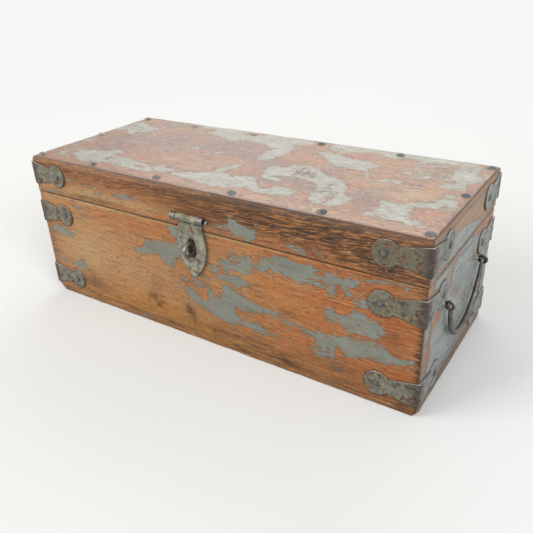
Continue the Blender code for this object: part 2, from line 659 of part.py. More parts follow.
def make_handle_eyes(chest):
    """Rings whose shanks pass through the end board and are clenched down inside."""
    ring_points = [Vector((x, 0, z)) for x, z in arc((0, 0), EYE_RING_RADIUS, 0, 2 * pi, 16)[:-1]]
    inside = EYE_OUT + END_WALL + TOUCH_GAP + EYE_WIRE_RADIUS
    bend = arc((inside - EYE_TAIL_BEND, -EYE_TAIL_BEND), EYE_TAIL_BEND, pi / 2, 0, 4)
    shank_points = [Vector((x, 0, z)) for x, z in [(EYE_RING_RADIUS, 0), *bend, (inside, -EYE_TAIL)]]
    for end, face, centre, inward in eye_spots():
        side = inward.x
        rings = [EYE_WIRE_RADIUS] * len(ring_points)
        loop = swept([Vector((side * p.x, 0, p.z)) for p in ring_points], rings, WIRE_SIDES, closed=True)
        eye = piece(f"{end}_eye_{face}", loop, centre, DARK_IRON, chest)
        wires = [EYE_WIRE_RADIUS] * len(shank_points)
        shank = swept([Vector((side * p.x, 0, p.z)) for p in shank_points], wires, WIRE_SIDES)
        combine(eye, shank, centre, "UNION")


def bail_spine():
    """The bail's centre line and radii: a knob, a turn down beside the eye, half an ellipse, and back."""
    ring_side = EYE_Y + EYE_WIRE_RADIUS + BAIL_KNOB_PLAY
    knob_end = ring_side + BAIL_KNOB_LENGTH
    leg = EYE_Y - BAIL_LEG_INBOARD
    turn = arc((leg + BAIL_BEND, -BAIL_BEND), BAIL_BEND, pi / 2, pi, 4)
    half = [
        ((knob_end, 0), BAIL_KNOB_RADIUS - BAIL_KNOB_CHAMFER),
        ((knob_end - BAIL_KNOB_CHAMFER, 0), BAIL_KNOB_RADIUS),
        ((ring_side + BAIL_KNOB_CHAMFER, 0), BAIL_KNOB_RADIUS),
        ((ring_side, 0), BAIL_END_RADIUS),
        *[(spot, BAIL_END_RADIUS) for spot in turn],
    ]
    bow = []
    steps = 24
    for k in range(1, steps):
        angle = pi * k / steps
        swell = BAIL_END_RADIUS + (BAIL_MIDDLE_RADIUS - BAIL_END_RADIUS) * sqrt(sin(angle))
        spot = (leg * cos(angle), -BAIL_BEND - (BAIL_DROP - BAIL_BEND) * sin(angle))
        bow.append((spot, swell))
    mirrored = [((-y, z), radius) for (y, z), radius in reversed(half)]
    return [*half, *bow, *mirrored]


def make_bails(carriers):
    for end, carrier in carriers.items():
        spine = bail_spine()
        points = [Vector((0, y, z)) for (y, z), _ in spine]
        radii = [radius for _, radius in spine]
        piece(f"{end}_bail", swept(points, radii, BAR_SIDES), carrier.location, DARK_IRON, carrier)


def main():
    clear_scene()
    chest = new_empty("chest_frame", Vector((0, 0, 0)))
    lid = new_empty("lid_axis", HINGE_AXIS)
    hasp = new_empty("hasp_axis", HASP_AXIS)
    hasp.parent = lid
    hasp.matrix_parent_inverse = Matrix.Translation(-lid.location)
    bails = {}
    for end, sx in ENDS.items():
        bails[end] = new_empty(f"{end}_bail_axis", Vector((sx * (LENGTH / 2 + EYE_OUT), 0, EYE_Z)))

    make_body_boards(chest)
    make_lid_boards(lid)
    make_straps("lower", LENGTH / 2, LOWER_STRAP_Z, chest)
    make_straps("upper", LENGTH / 2, UPPER_STRAP_Z, chest)
    make_straps("lid", LENGTH / 2 + LID_OVERHANG, LID_STRAP_Z, lid)
    make_lid_nails(lid)
    make_bottom_nails(chest)
    make_hinges(chest, lid)
    make_lock_staple(chest)
    make_hasp(hasp, lid)
    make_handle_eyes(chest)
    make_bails(bails)


main()
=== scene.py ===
"""Looks of a small chest of reclaimed painted wood with iron straps, a hinged hasp and bail handles."""

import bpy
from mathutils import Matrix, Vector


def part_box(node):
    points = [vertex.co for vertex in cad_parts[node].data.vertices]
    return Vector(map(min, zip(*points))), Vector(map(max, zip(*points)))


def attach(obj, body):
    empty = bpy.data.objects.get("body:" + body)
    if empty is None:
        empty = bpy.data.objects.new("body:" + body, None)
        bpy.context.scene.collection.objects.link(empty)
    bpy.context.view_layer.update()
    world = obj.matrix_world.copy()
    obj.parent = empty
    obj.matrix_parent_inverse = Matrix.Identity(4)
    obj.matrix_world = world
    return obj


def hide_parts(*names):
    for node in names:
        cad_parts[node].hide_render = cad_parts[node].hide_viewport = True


bl_info = {
    "name": "Painted wooden chest",
    "version": (1, 0, 0),
    "blender": (4, 5, 0),
    "location": "3D View > Sidebar > Chest",
    "description": "Dresses the chest's solids with worn boards, forged iron and a plain studio",
    "category": "Object",
}

from math import asin, cos, pi, radians, sin, sqrt

import bmesh
import bpy
import numpy as np
from bpy.props import FloatProperty, FloatVectorProperty, IntProperty, PointerProperty
from mathutils import Matrix, Vector

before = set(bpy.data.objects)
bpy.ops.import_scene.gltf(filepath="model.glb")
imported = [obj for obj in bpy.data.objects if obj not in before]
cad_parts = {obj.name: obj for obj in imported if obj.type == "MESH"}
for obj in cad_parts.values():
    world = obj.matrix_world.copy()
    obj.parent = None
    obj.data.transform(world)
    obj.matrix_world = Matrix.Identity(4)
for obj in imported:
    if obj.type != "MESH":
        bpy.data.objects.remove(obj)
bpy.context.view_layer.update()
MM = 0.001

LEFT_AND_RIGHT = (("left", -1), ("right", 1))
FRONT_AND_BACK = (("front", -1), ("back", 1))

# Sizes in millimetres. The boards take theirs from the solids; these are the places that their wear depends on.
FACE_Y, LID_FACE_X = 87.0, 210.5
BOTTOM_JOINT, BODY_RIM, LID_SEAM, TOP_JOINT, LID_TOP = 9.15, 117.6, 117.85, 149.05, 155.2
END_BOARD_Y = 80.0
# The back shows the front's patches turned round and moved this far along.
BACK_SHIFT = 9.0
# Corners knocked off by use: place and reach.
KNOCKED = ((-210, -87, 0, 8.5), (210, -87, 0, 4.0), (-210.5, -87, 155.2, 2.6), (210.5, -87, 155.2, 2.2))

# Straps by level: height, distance from the middle to their corner, and body.
STRAP_LEVELS = {"lower": (21.6, 210.0, "chest"), "upper": (96.0, 210.0, "chest"), "lid": (138.06, 210.5, "lid")}
FIRST_STRAP_SEED = 41
# How dirty the straps are that aren't as clean as the others.
GRUBBY = {"lid_strap_front_right": 0.95, "upper_strap_front_right": 0.6, "upper_strap_front_left": 0.55}
STRAP_OUT = 1.5
STRAP_BACK = 0.06
STRAP_HALF = 12.3
STRAP_NECK_HALF = 6.95
DISC_RADIUS = 11.3
DISC_FROM_CORNER = 33.7
STRAP_NECK = DISC_FROM_CORNER - sqrt(DISC_RADIUS**2 - STRAP_NECK_HALF**2)
STRAP_RIM = 0.55
STRAP_NAIL_FROM_CORNER = 35.0
# Nail heads: radius and height.
STRAP_NAIL = (3.1, 1.5)
LID_NAIL = (4.1, 2.0)
NAIL_DENTS = 0.06
FADED_NAILS = ("lid_nail_left", "lid_nail_front_1", "lid_nail_back_1", "lid_nail_back_2", "lid_nail_back_3")
LID_NAIL_SEAT = 155.5
LID_NAIL_X = (-204.5, -130.3, -47.9, 35.6, 120.2, 204.5)
LID_NAIL_Y = 78.0
LID_END_NAIL_Y = 3.0
HASP_AXIS = (-4.0, -91.7, 129.5)
HASP_LENGTH = 59.0
HASP_HALF = 15.8
HASP_BARREL = 3.4
HASP_BARREL_HALF = 12.1
HASP_PLATE, HASP_RIM = 1.6, 0.6
# The slot's half width, half height and roundness.
HASP_SLOT, SLOT_POWER = (4.2, 8.95), 2.6
HASP_SLOT_DOWN = 29.9
# The plate's outline from its top to its point: shares of its length and of its half width.
HASP_SHARES = (
    (0.085, 0.77), (0.10, 0.80), (0.20, 0.87), (0.32, 0.95), (0.46, 1.0), (0.58, 0.98),
    (0.68, 0.89), (0.78, 0.73), (0.86, 0.56), (0.92, 0.39), (0.97, 0.20), (1.0, 0.0),
)
# Radius, head's radius, head's length, and the two tips.
HASP_PIN = (1.35, 2.2, 1.2, -19.27, 22.27)
# Radius, width, and place to either side.
HASP_EYE = (3.9, 5.4, 15.27)
# Place along and up, wire's radius, bow's radius, and reach.
STAPLE = (-4.0, 99.6, 1.7, 5.85, 14.5)
EYE_X, EYE_Y, EYE_Z = 215.3, 45.0, 83.505
EYE_RING, EYE_WIRE, EYE_TAIL_X = 3.3, 1.4, 196.3
BAIL_DROP, BAIL_BEND, BAIL_LEG = 44.5, 2.6, 41.4
BAIL_THIN, BAIL_SWELL = 1.45, 1.35
HINGE_X, HINGE_Y, HINGE_Z = 100.0, 90.3, 117.85
HINGE_HALF, HINGE_LEAF, HINGE_PLATE, HINGE_BARREL, HINGE_PIN_RADIUS = 12.0, 30.4, 1.3, 3.0, 1.3
FLOOR_GAP = 0.1
# The camera's turn, rise and roll in degrees.
CAMERA_TURNS = (34.186, 27.851, -2.349)


class ChestWood(bpy.types.PropertyGroup):
    """The boards: how their edges are worn and how wood and paint are coloured."""

    edge: FloatProperty(
        name="Eased edge", description="How far the boards' edges are rounded by wear",
        default=1.1 * MM, min=0.3 * MM, max=2.0 * MM, unit="LENGTH", precision=5)
    spacing: FloatProperty(
        name="Mesh spacing", description="Distance between the mesh lines on the faces that are seen most",
        default=1.5 * MM, min=1.0 * MM, max=6.0 * MM, unit="LENGTH", precision=5)
    relief: FloatProperty(
        name="Relief", description="Depth of the fibres and of the paint's edge",
        default=0.35 * MM, min=0.0, max=1.0 * MM, unit="LENGTH", precision=5)
    honey: FloatVectorProperty(
        name="Honey wood", description="Palest wood, towards the left of the front",
        default=(0.47, 0.305, 0.148), subtype="COLOR", min=0, max=1)
    orange: FloatVectorProperty(
        name="Orange wood", description="Wood over most of the chest",
        default=(0.405, 0.158, 0.054), subtype="COLOR", min=0, max=1)
    red: FloatVectorProperty(
        name="Red wood", description="Reddest wood, along the rim and beside the paint",
        default=(0.385, 0.10, 0.03), subtype="COLOR", min=0, max=1)
    brown: FloatVectorProperty(
        name="Brown wood", description="Dirty, waxed wood of the lid's rails",
        default=(0.095, 0.047, 0.026), subtype="COLOR", min=0, max=1)
    # Also the colour of painted shade round the straps, in the lid's seam and behind the hasp's slot.
    dark_marks_and_shade: FloatVectorProperty(
        name="Dark marks", description="Knots, nail stains and old dirt",
        default=(0.045, 0.03, 0.022), subtype="COLOR", min=0, max=1)
    golden: FloatVectorProperty(
        name="Golden wood", description="Warmest wood, along the foot of the front",
        default=(0.49, 0.225, 0.055), subtype="COLOR", min=0, max=1)
    raw: FloatVectorProperty(
        name="Inside wood", description="Unpainted wood of the inside and the underside",
        default=(0.40, 0.25, 0.14), subtype="COLOR", min=0, max=1)
    paint: FloatVectorProperty(
        name="Old paint", description="Grey-green paint left on the boards",
        default=(0.200, 0.212, 0.178), subtype="COLOR", min=0, max=1)
    paint_pale: FloatVectorProperty(
        name="Faded paint", description="The same paint where it has faded",
        default=(0.256, 0.272, 0.236), subtype="COLOR", min=0, max=1)
    end_paint: FloatVectorProperty(
        name="End paint", description="Bluer paint of the two ends",
        default=(0.27, 0.295, 0.285), subtype="COLOR", min=0, max=1)
    # A lighter copy of the old paint, made lighter partly as painted light for the stronger light on the lid's top.
    top_paint: FloatVectorProperty(
        name="Top paint", description="Paler, yellower paint of the lid's top",
        default=(0.37, 0.383, 0.318), subtype="COLOR", min=0, max=1)
    mauve: FloatVectorProperty(
        name="Mauve wood", description="Duller wood beside the paint on the lid's top",
        default=(0.20, 0.118, 0.10), subtype="COLOR", min=0, max=1)
    grey: FloatVectorProperty(
        name="Weathered wood", description="Greyer wood of the two ends",
        default=(0.33, 0.285, 0.235), subtype="COLOR", min=0, max=1)


class ChestIron(bpy.types.PropertyGroup):
    """The ironwork: how it is forged and how it is coloured."""

    sides: IntProperty(
        name="Round sides", description="Sides of the round bars", default=20, min=8, max=48)
    hammering: FloatProperty(
        name="Hammering", description="Depth of the dents left by forging",
        default=0.12 * MM, min=0.0, max=0.4 * MM, unit="LENGTH", precision=5)
    strap_paint: FloatVectorProperty(
        name="Strap paint", description="Thin grey-green paint on the straps and the hasp",
        default=(0.165, 0.158, 0.112), subtype="COLOR", min=0, max=1)
    rust: FloatVectorProperty(
        name="Rust", description="Rust that shows through the paint",
        default=(0.17, 0.085, 0.04), subtype="COLOR", min=0, max=1)
    iron: FloatVectorProperty(
        name="Forged iron", description="Dark iron of the handles, staple and nails",
        default=(0.06, 0.056, 0.052), subtype="COLOR", min=0, max=1)
    # Also the colour of the painted highlight on upper rims.
    bright: FloatVectorProperty(
        name="Rubbed iron", description="Iron rubbed bright on its edges",
        default=(0.58, 0.57, 0.53), subtype="COLOR", min=0, max=1)


class ChestStage(bpy.types.PropertyGroup):
    """Floor, lamps and camera."""

    floor: FloatVectorProperty(
        name="Floor", description="Pale floor and backdrop", default=(0.90, 0.895, 0.88),
        subtype="COLOR", min=0, max=1)
    floor_far: FloatVectorProperty(
        name="Far floor", description="The floor and backdrop away from the chest", default=(0.93, 0.93, 0.92),
        subtype="COLOR", min=0, max=1)
    fill: FloatProperty(
        name="Fill", description="Strength of the light from all round", default=0.60, min=0, max=2)
    key: FloatProperty(
        name="Key lamp", description="Power of the large lamp at the front left", default=19.0,
        min=0, max=400, subtype="POWER")
    sheen: FloatProperty(
        name="Sheen lamp", description="Power of the lamp that the lid's top reflects", default=25.0,
        min=0, max=400, subtype="POWER")
    side: FloatProperty(
        name="Side lamp", description="Power of the cooler lamp that lights the right end", default=11.0,
        min=0, max=400, subtype="POWER")
    place: FloatVectorProperty(
        name="Camera place", description="Where the camera stands",
        default=(0.31798, -0.44674, 0.33024), subtype="XYZ", unit="LENGTH", precision=5)
    lens: FloatProperty(
        name="Lens", description="Focal length for a sensor 36 mm wide", default=40.19, min=10, max=200)


# Paint and wood tones: outlines and soft spots given for each face, in millimetres.
# The front and back use (along, height), the top (along, depth), the ends (depth, height).
FRONT_PAINT = (
    ((62, 97), (66, 103), (70, 108), (73, 108), (75, 104), (76, 111), (84, 112.5), (92, 113), (97, 110.5),
     (105, 112), (115, 112.5), (120, 110.5), (130, 111), (137, 110), (140, 107), (147, 109), (151, 108),
     (157, 110.5), (158, 108), (154, 103), (150, 103), (147, 100.5), (152, 97), (153, 94), (148, 93.5),
     (145, 98), (140, 101.5), (136, 99), (138, 94), (134, 89.5), (131, 90), (129, 94), (122, 94),
     (115, 95), (108, 93), (100, 93.5), (98, 96), (92, 97), (86, 98), (80, 97), (77, 100), (74, 96),
     (70, 94), (64, 94)),
    ((152, 93), (158, 93.5), (160, 96), (165, 95), (165, 90), (163, 87), (158, 88), (156, 85.5), (154, 87)),
    ((160, 111), (168, 113), (178, 115), (192, 116), (196, 114), (196, 110.5), (194, 110), (192, 113),
     (180, 114), (170, 112), (163, 110)),
    ((124, 77), (130, 76), (136, 77.5), (140, 75), (146, 76), (152, 78), (153, 83), (158, 81), (166, 80.5),
     (171, 79), (176, 76), (179, 72), (180, 68), (176, 66), (174, 62), (168, 60), (165, 63), (158, 61),
     (152, 62), (146, 63), (142, 66), (134, 66), (130, 69), (128, 73)),
    ((104, 52), (112, 50), (120, 50), (124, 53), (132, 51), (138, 53), (146, 56), (156, 57), (162, 57),
     (164, 50), (166, 43), (160, 39), (152, 37), (147, 37), (144, 42), (139, 43), (137, 40), (138, 35),
     (137, 29), (131, 30), (126, 28), (121, 27.5), (118, 30), (114, 30), (118, 35), (120, 40), (120, 45),
     (112, 46), (104, 48)),
    ((162, 60), (170, 59), (178, 58), (184, 55), (187, 51), (195, 50.5), (203, 53), (206, 51), (200, 47),
     (198, 44), (192, 45), (186, 43), (178, 41), (170, 42), (165, 45), (161, 50)),
    ((37, 100), (42, 101), (47, 103), (52, 104.5), (57, 105), (60, 102), (62, 98), (58, 95), (56, 91),
     (52, 87), (47, 85), (42, 88), (36, 87), (32, 84), (28, 86), (24, 92), (30, 94), (38, 95), (46, 97),
     (48, 99), (42, 99)),
    ((20, 79), (28, 82), (36, 82), (42, 83), (48, 82), (50, 78), (57, 77), (56, 75), (48, 75), (46, 71),
     (40, 71), (34, 74), (28, 73), (24, 77)),
    ((12, 80), (20, 83), (25, 84), (20, 81), (14, 79)),
    ((26, 60), (24, 64), (27, 70), (30, 70), (34, 68), (38, 67), (40, 63)),
    ((0, 66), (5, 65), (10, 64), (8, 58), (8, 50), (6, 46), (1, 46), (0, 38), (8, 37), (14, 33), (22, 31),
     (32, 31), (44, 33), (56, 32), (66, 32), (75, 37), (66, 38), (60, 40), (52, 39), (44, 38), (40, 42),
     (36, 46), (38, 50), (46, 47), (50, 50), (58, 51), (66, 53), (74, 54), (82, 53.5), (92, 55.5),
     (84, 57), (76, 59), (66, 59.5), (56, 61), (50, 63), (44, 64), (38, 67), (30, 68), (25, 66),
     (25, 61), (22, 55), (19, 57), (12, 59)),
    ((-84, 80), (-76, 83), (-68, 84), (-66, 90), (-64, 94), (-58, 94), (-50, 96), (-40, 98), (-32, 98.5),
     (-27, 99), (-24, 103), (-30, 108), (-34, 113), (-28, 116), (-22, 116.5), (-20, 110), (-19, 90),
     (-20, 84), (-24, 86), (-26, 82), (-28, 79), (-32, 76), (-31, 72), (-36, 72), (-40, 74), (-45, 78),
     (-50, 82), (-56, 81), (-64, 80), (-68, 78), (-72, 77)),
    ((-22, 52), (-20, 56), (-14, 56.5), (-8, 53), (-2, 49), (0, 48), (0, 38), (-4, 39), (-10, 42),
     (-14, 44), (-18, 48)),
    ((-10, 70), (-4, 67), (0, 66), (0, 60), (-4, 62), (-9, 65)),
    ((-204, 76), (-200, 81), (-190, 82), (-180, 80), (-172, 77), (-166, 77), (-172, 73), (-180, 72),
     (-190, 73), (-200, 73)),
    ((-206, 47), (-200, 45), (-190, 42), (-180, 41), (-168, 46), (-162, 47), (-158, 40), (-162, 34),
     (-170, 37), (-180, 40), (-190, 39.5), (-200, 42)),
    ((37, 136), (44, 136), (50, 134), (56, 132), (63, 132), (65, 126), (62, 122), (56, 120), (50, 121),
     (42, 122), (38, 124), (36, 130)),
    ((18, 126), (28, 128), (37, 128), (36, 125), (28, 125)),
    ((-100, 132), (-90, 134), (-80, 134.5), (-68, 134), (-76, 131), (-86, 129.5)),
)
# Small spots of paint: place, half width, half height.
FRONT_CHIPS = (
    (141, 22, 2.5, 1.0), (12.5, 113, 2.0, 1.2), (97.5, 123, 3.5, 1.8), (105, 121.5, 5, 1.2),
    (-131, 136, 5, 1.5), (-122, 131, 3, 1), (-159, 137, 3, 1.5), (-190, 120, 5, 1), (-175, 121, 6, 1),
    (20, 84, 4, 2), (31, 95, 5, 1.6), (40, 89, 5, 2), (24, 76, 5, 2.2), (44, 101.5, 5, 1.4), (6, 73, 3, 1.5),
    (-2, 60, 4, 1.5), (-27, 58, 2, 2.5), (-22, 65, 2, 2.5), (15, 86, 4, 1.3), (52, 78.5, 4, 1.5), (36, 80, 6, 1.6),
    (28, 87, 5, 1.4), (60, 40.5, 6, 1.2), (67, 36, 5, 1), (75, 33, 4, 0.8), (93, 51.5, 7, 1.2), (163, 53, 8, 1.5),
    (175, 52.5, 7, 1.3), (-34, 67, 2.5, 1.5), (-20, 64, 4, 2.5), (-150, 101, 3, 1), (-158, 109, 3, 1),
    (-79, 4.5, 6, 1.5),
)
# Bare windows inside the paint.
FRONT_BARE = (
    (123, 107.5, 3.5, 1.8), (122, 99.5, 7.5, 1.0), (123.5, 35, 1.2, 3.0), (131.5, 36, 1.0, 2.0),
    (18, 59, 5.5, 4.5), (174, 55, 1.2, 1.0), (166, 54, 2.5, 1.2), (171, 44, 2.0, 1.0), (156, 67.5, 1.6, 0.9),
)
TOP_PAINT = (
    ((-2, 87), (24, 87), (28, 80), (30, 74), (20, 68), (14, 62), (12, 56), (18, 52), (22, 50), (20, 42),
     (20, 34), (19, 26), (18, 18), (14, 8), (10, 6), (4, 8), (0, 12), (-1, 30), (0, 46), (-8, 46), (-16, 50),
     (-24, 53), (-34, 54), (-46, 54), (-52, 50), (-58, 46), (-66, 50), (-74, 54), (-84, 57), (-92, 60),
     (-100, 58), (-108, 58), (-112, 62), (-98, 64), (-96, 74), (-102, 78), (-110, 74), (-118, 76),
     (-122, 82), (-125, 87), (-60, 87), (-58, 80), (-60, 74), (-52, 72), (-44, 74), (-38, 80), (-36, 87)),
    ((48, 84), (60, 86), (72, 84), (104, 86), (150, 87), (192, 86), (193, 82), (196, 78), (204, 76), (208, 80),
     (207, 72), (202, 68), (198, 62), (199, 56), (203, 50), (207, 46), (207, 38), (204, 34), (199, 30),
     (198, 24), (200, 18), (199, 12), (194, 13), (186, 11), (178, 12), (178, 16), (181, 22), (184, 30),
     (182, 40), (180, 46), (178, 50), (178, 60), (180, 68), (176, 73), (166, 70), (156, 72), (150, 66),
     (146, 62), (144, 66), (141, 72), (130, 72), (118, 66), (104, 68), (104, 73), (90, 74), (86, 70),
     (84, 64), (78, 68), (70, 64), (66, 60), (68, 56), (72, 52), (78, 50), (90, 48), (96, 46), (104, 47),
     (113, 45), (120, 39), (113, 33), (110, 27), (114, 20), (120, 12), (117, 8), (112, 14), (104, 20),
     (98, 20), (92, 22), (84, 21), (76, 24), (70, 28), (64, 36), (56, 42), (48, 46), (42, 49), (50, 55),
     (55, 60), (52, 66), (48, 72), (46, 78)),
    ((133, 10), (138, 12), (148, 13), (150, 10), (151, 3), (146, 3), (138, 5), (133, 2), (129, 2)),
    ((152, -33), (160, -35), (168, -34), (172, -31), (176, -26), (182, -24), (188, -20), (189, -10),
     (192, -7), (199, -8), (204, -12), (206, -22), (205, -30), (200, -33), (190, -35), (182, -38),
     (179, -39), (178, -50), (180, -57), (184, -61), (188, -57), (192, -60), (194, -66), (199, -66),
     (198, -70), (192, -72), (184, -71), (180, -69), (172, -70), (168, -72), (164, -68), (152, -69),
     (142, -68), (148, -66), (152, -60), (152, -48), (151, -40), (147, -36)),
    ((28, 2), (34, -2), (42, 2), (42, 10), (50, 12), (60, 13), (68, 10), (76, 4), (82, -1), (90, -4),
     (100, -8), (108, -12), (112, -20), (115, -28), (120, -38), (128, -42), (130, -46), (126, -54),
     (128, -62), (120, -66), (110, -68), (103, -66), (98, -60), (92, -50), (94, -38), (90, -32), (84, -26),
     (78, -22), (70, -20), (62, -22), (56, -28), (54, -36), (44, -36), (36, -35), (33, -28), (28, -20),
     (26, -12)),
    ((-56, -60), (-50, -58), (-44, -60), (-36, -54), (-28, -52), (-22, -48), (-16, -42), (-14, -34),
     (-10, -26), (-6, -16), (-2, -10), (2, -8), (2, -26), (-2, -30), (-4, -36), (0, -41), (10, -42),
     (22, -38), (28, -36), (34, -42), (42, -48), (48, -54), (52, -58), (56, -54), (58, -50), (66, -47),
     (74, -46), (80, -50), (83, -56), (80, -62), (72, -66), (64, -66), (56, -68), (50, -70), (46, -66),
     (38, -63), (30, -66), (24, -70), (14, -72), (0, -72), (-12, -70), (-22, -68), (-30, -66), (-38, -66),
     (-46, -64), (-52, -64)),
    ((-104, -52), (-96, -51), (-84, -52), (-76, -53), (-70, -58), (-64, -62), (-62, -70), (-70, -72),
     (-80, -71), (-92, -72), (-112, -64), (-122, -66), (-130, -68), (-138, -72), (-146, -77), (-158, -74),
     (-170, -66), (-180, -62), (-176, -54), (-178, -46), (-168, -44), (-160, -43), (-152, -40),
     (-146, -34), (-138, -30), (-132, -36), (-136, -42), (-130, -46), (-120, -48), (-112, -44)),
    ((-209, 20), (-204, 24), (-209, 32), (-208, 40), (-208, 50), (-206, 58), (-198, 62), (-186, 62),
     (-178, 54), (-172, 52), (-164, 53), (-158, 50), (-155, 46), (-162, 44), (-163, 38), (-165, 30),
     (-170, 29), (-174, 34), (-178, 30), (-174, 22), (-176, 17), (-182, 20), (-186, 26), (-192, 32),
     (-198, 30), (-202, 24)),
    ((-196, -60), (-188, -62), (-182, -68), (-170, -74), (-178, -72), (-190, -68)),
)
# Where the paint is nearly gone, so that only flakes of it are left.
TOP_MOTTLED = (
    ((-210, 0), (-200, -2), (-198, -12), (-198, -22), (-194, -30), (-190, -40), (-184, -48), (-182, -56),
     (-186, -60), (-194, -56), (-200, -48), (-204, -38), (-210, -32)),
    ((-180, 84), (-150, 84), (-140, 70), (-168, 72)),
    ((150, 66), (178, 66), (180, 30), (160, 24), (140, 34)),
)
TOP_CHIPS = (
    (145, 33, 4, 5), (163, 31, 3.5, 4), (163, 4, 2, 3), (194, -3, 4, 3), (-74, 9, 5, 5), (-63, -53, 4, 3),
    (-58, -58, 15, 6), (-100, -66, 22, 4), (-30, 60, 9, 3), (-42, 8, 5, 2.5), (-51, 0, 2, 3), (-116, 65, 6, 2.5),
    (-150, 20, 7, 2), (-124, 82, 6, 3), (-142, 78, 5, 2),
)
TOP_BARE = (
    (58, -8, 1.6, 8), (66, -8, 3, 5), (75, -12, 2, 3), (61, 61, 3.6, 8), (49, -26, 5, 3), (107, 16, 5, 4),
    (186, 30, 1.5, 4), (-85, -61, 4, 2), (-130, -56, 3, 4), (-128, -42, 5, 2), (36, -72, 8, 7),
    (200, 66, 3, 5), (-101, 70, 5, 5), (197, -27, 2, 3), (112, -52, 1.5, 8), (-190, 45, 6, 1.2),
    (-182, 38, 7, 1.2), (190, 68, 1.4, 5), (-48, 80, 9, 6), (204, -60, 2, 4),
)
END_PAINT = (
    ((-87, 119), (-87, 150), (-60, 152), (-42, 146), (-38, 139), (-18, 137), (0, 134), (22, 129),
     (40, 125), (30, 121), (0, 119), (-40, 118)),
    ((-72, 116), (-38, 114), (-20, 117), (10, 117), (30, 113), (46, 104), (60, 96), (87, 90), (87, 14),
     (60, 12), (40, 20), (10, 28), (26, 12), (10, 9.5), (-30, 11), (-60, 14), (-70, 30), (-66, 50),
     (-71, 66), (-60, 74), (-42, 84), (-46, 96), (-42, 108), (-60, 106), (-80, 108)),
    ((-87, 92), (-75, 96), (-72, 80), (-78, 60), (-87, 56)),
    ((70, 154), (87, 150), (87, 122), (74, 126), (60, 134)),
)
END_CHIPS = ((-80, 30, 4, 12), (20, 146, 9, 1.5), (-10, 150, 8, 1.5), (-20, 4, 30, 2))
END_BARE = (
    (-32, 99, 3.5, 9), (-22, 82, 5, 2.5), (-10, 77, 5, 1.6), (-58, 79, 9, 6), (15, 57, 6, 4),
    (34, 91, 7, 4), (50, 52, 7, 1.2), (44, 58, 6, 1.0), (36, 40, 7, 1.4), (20, 26, 9, 4), (-78, 66, 4, 3),
    (-20, 112, 12, 1.2), (-60, 122, 20, 1.4), (-76, 46, 2, 9),
)
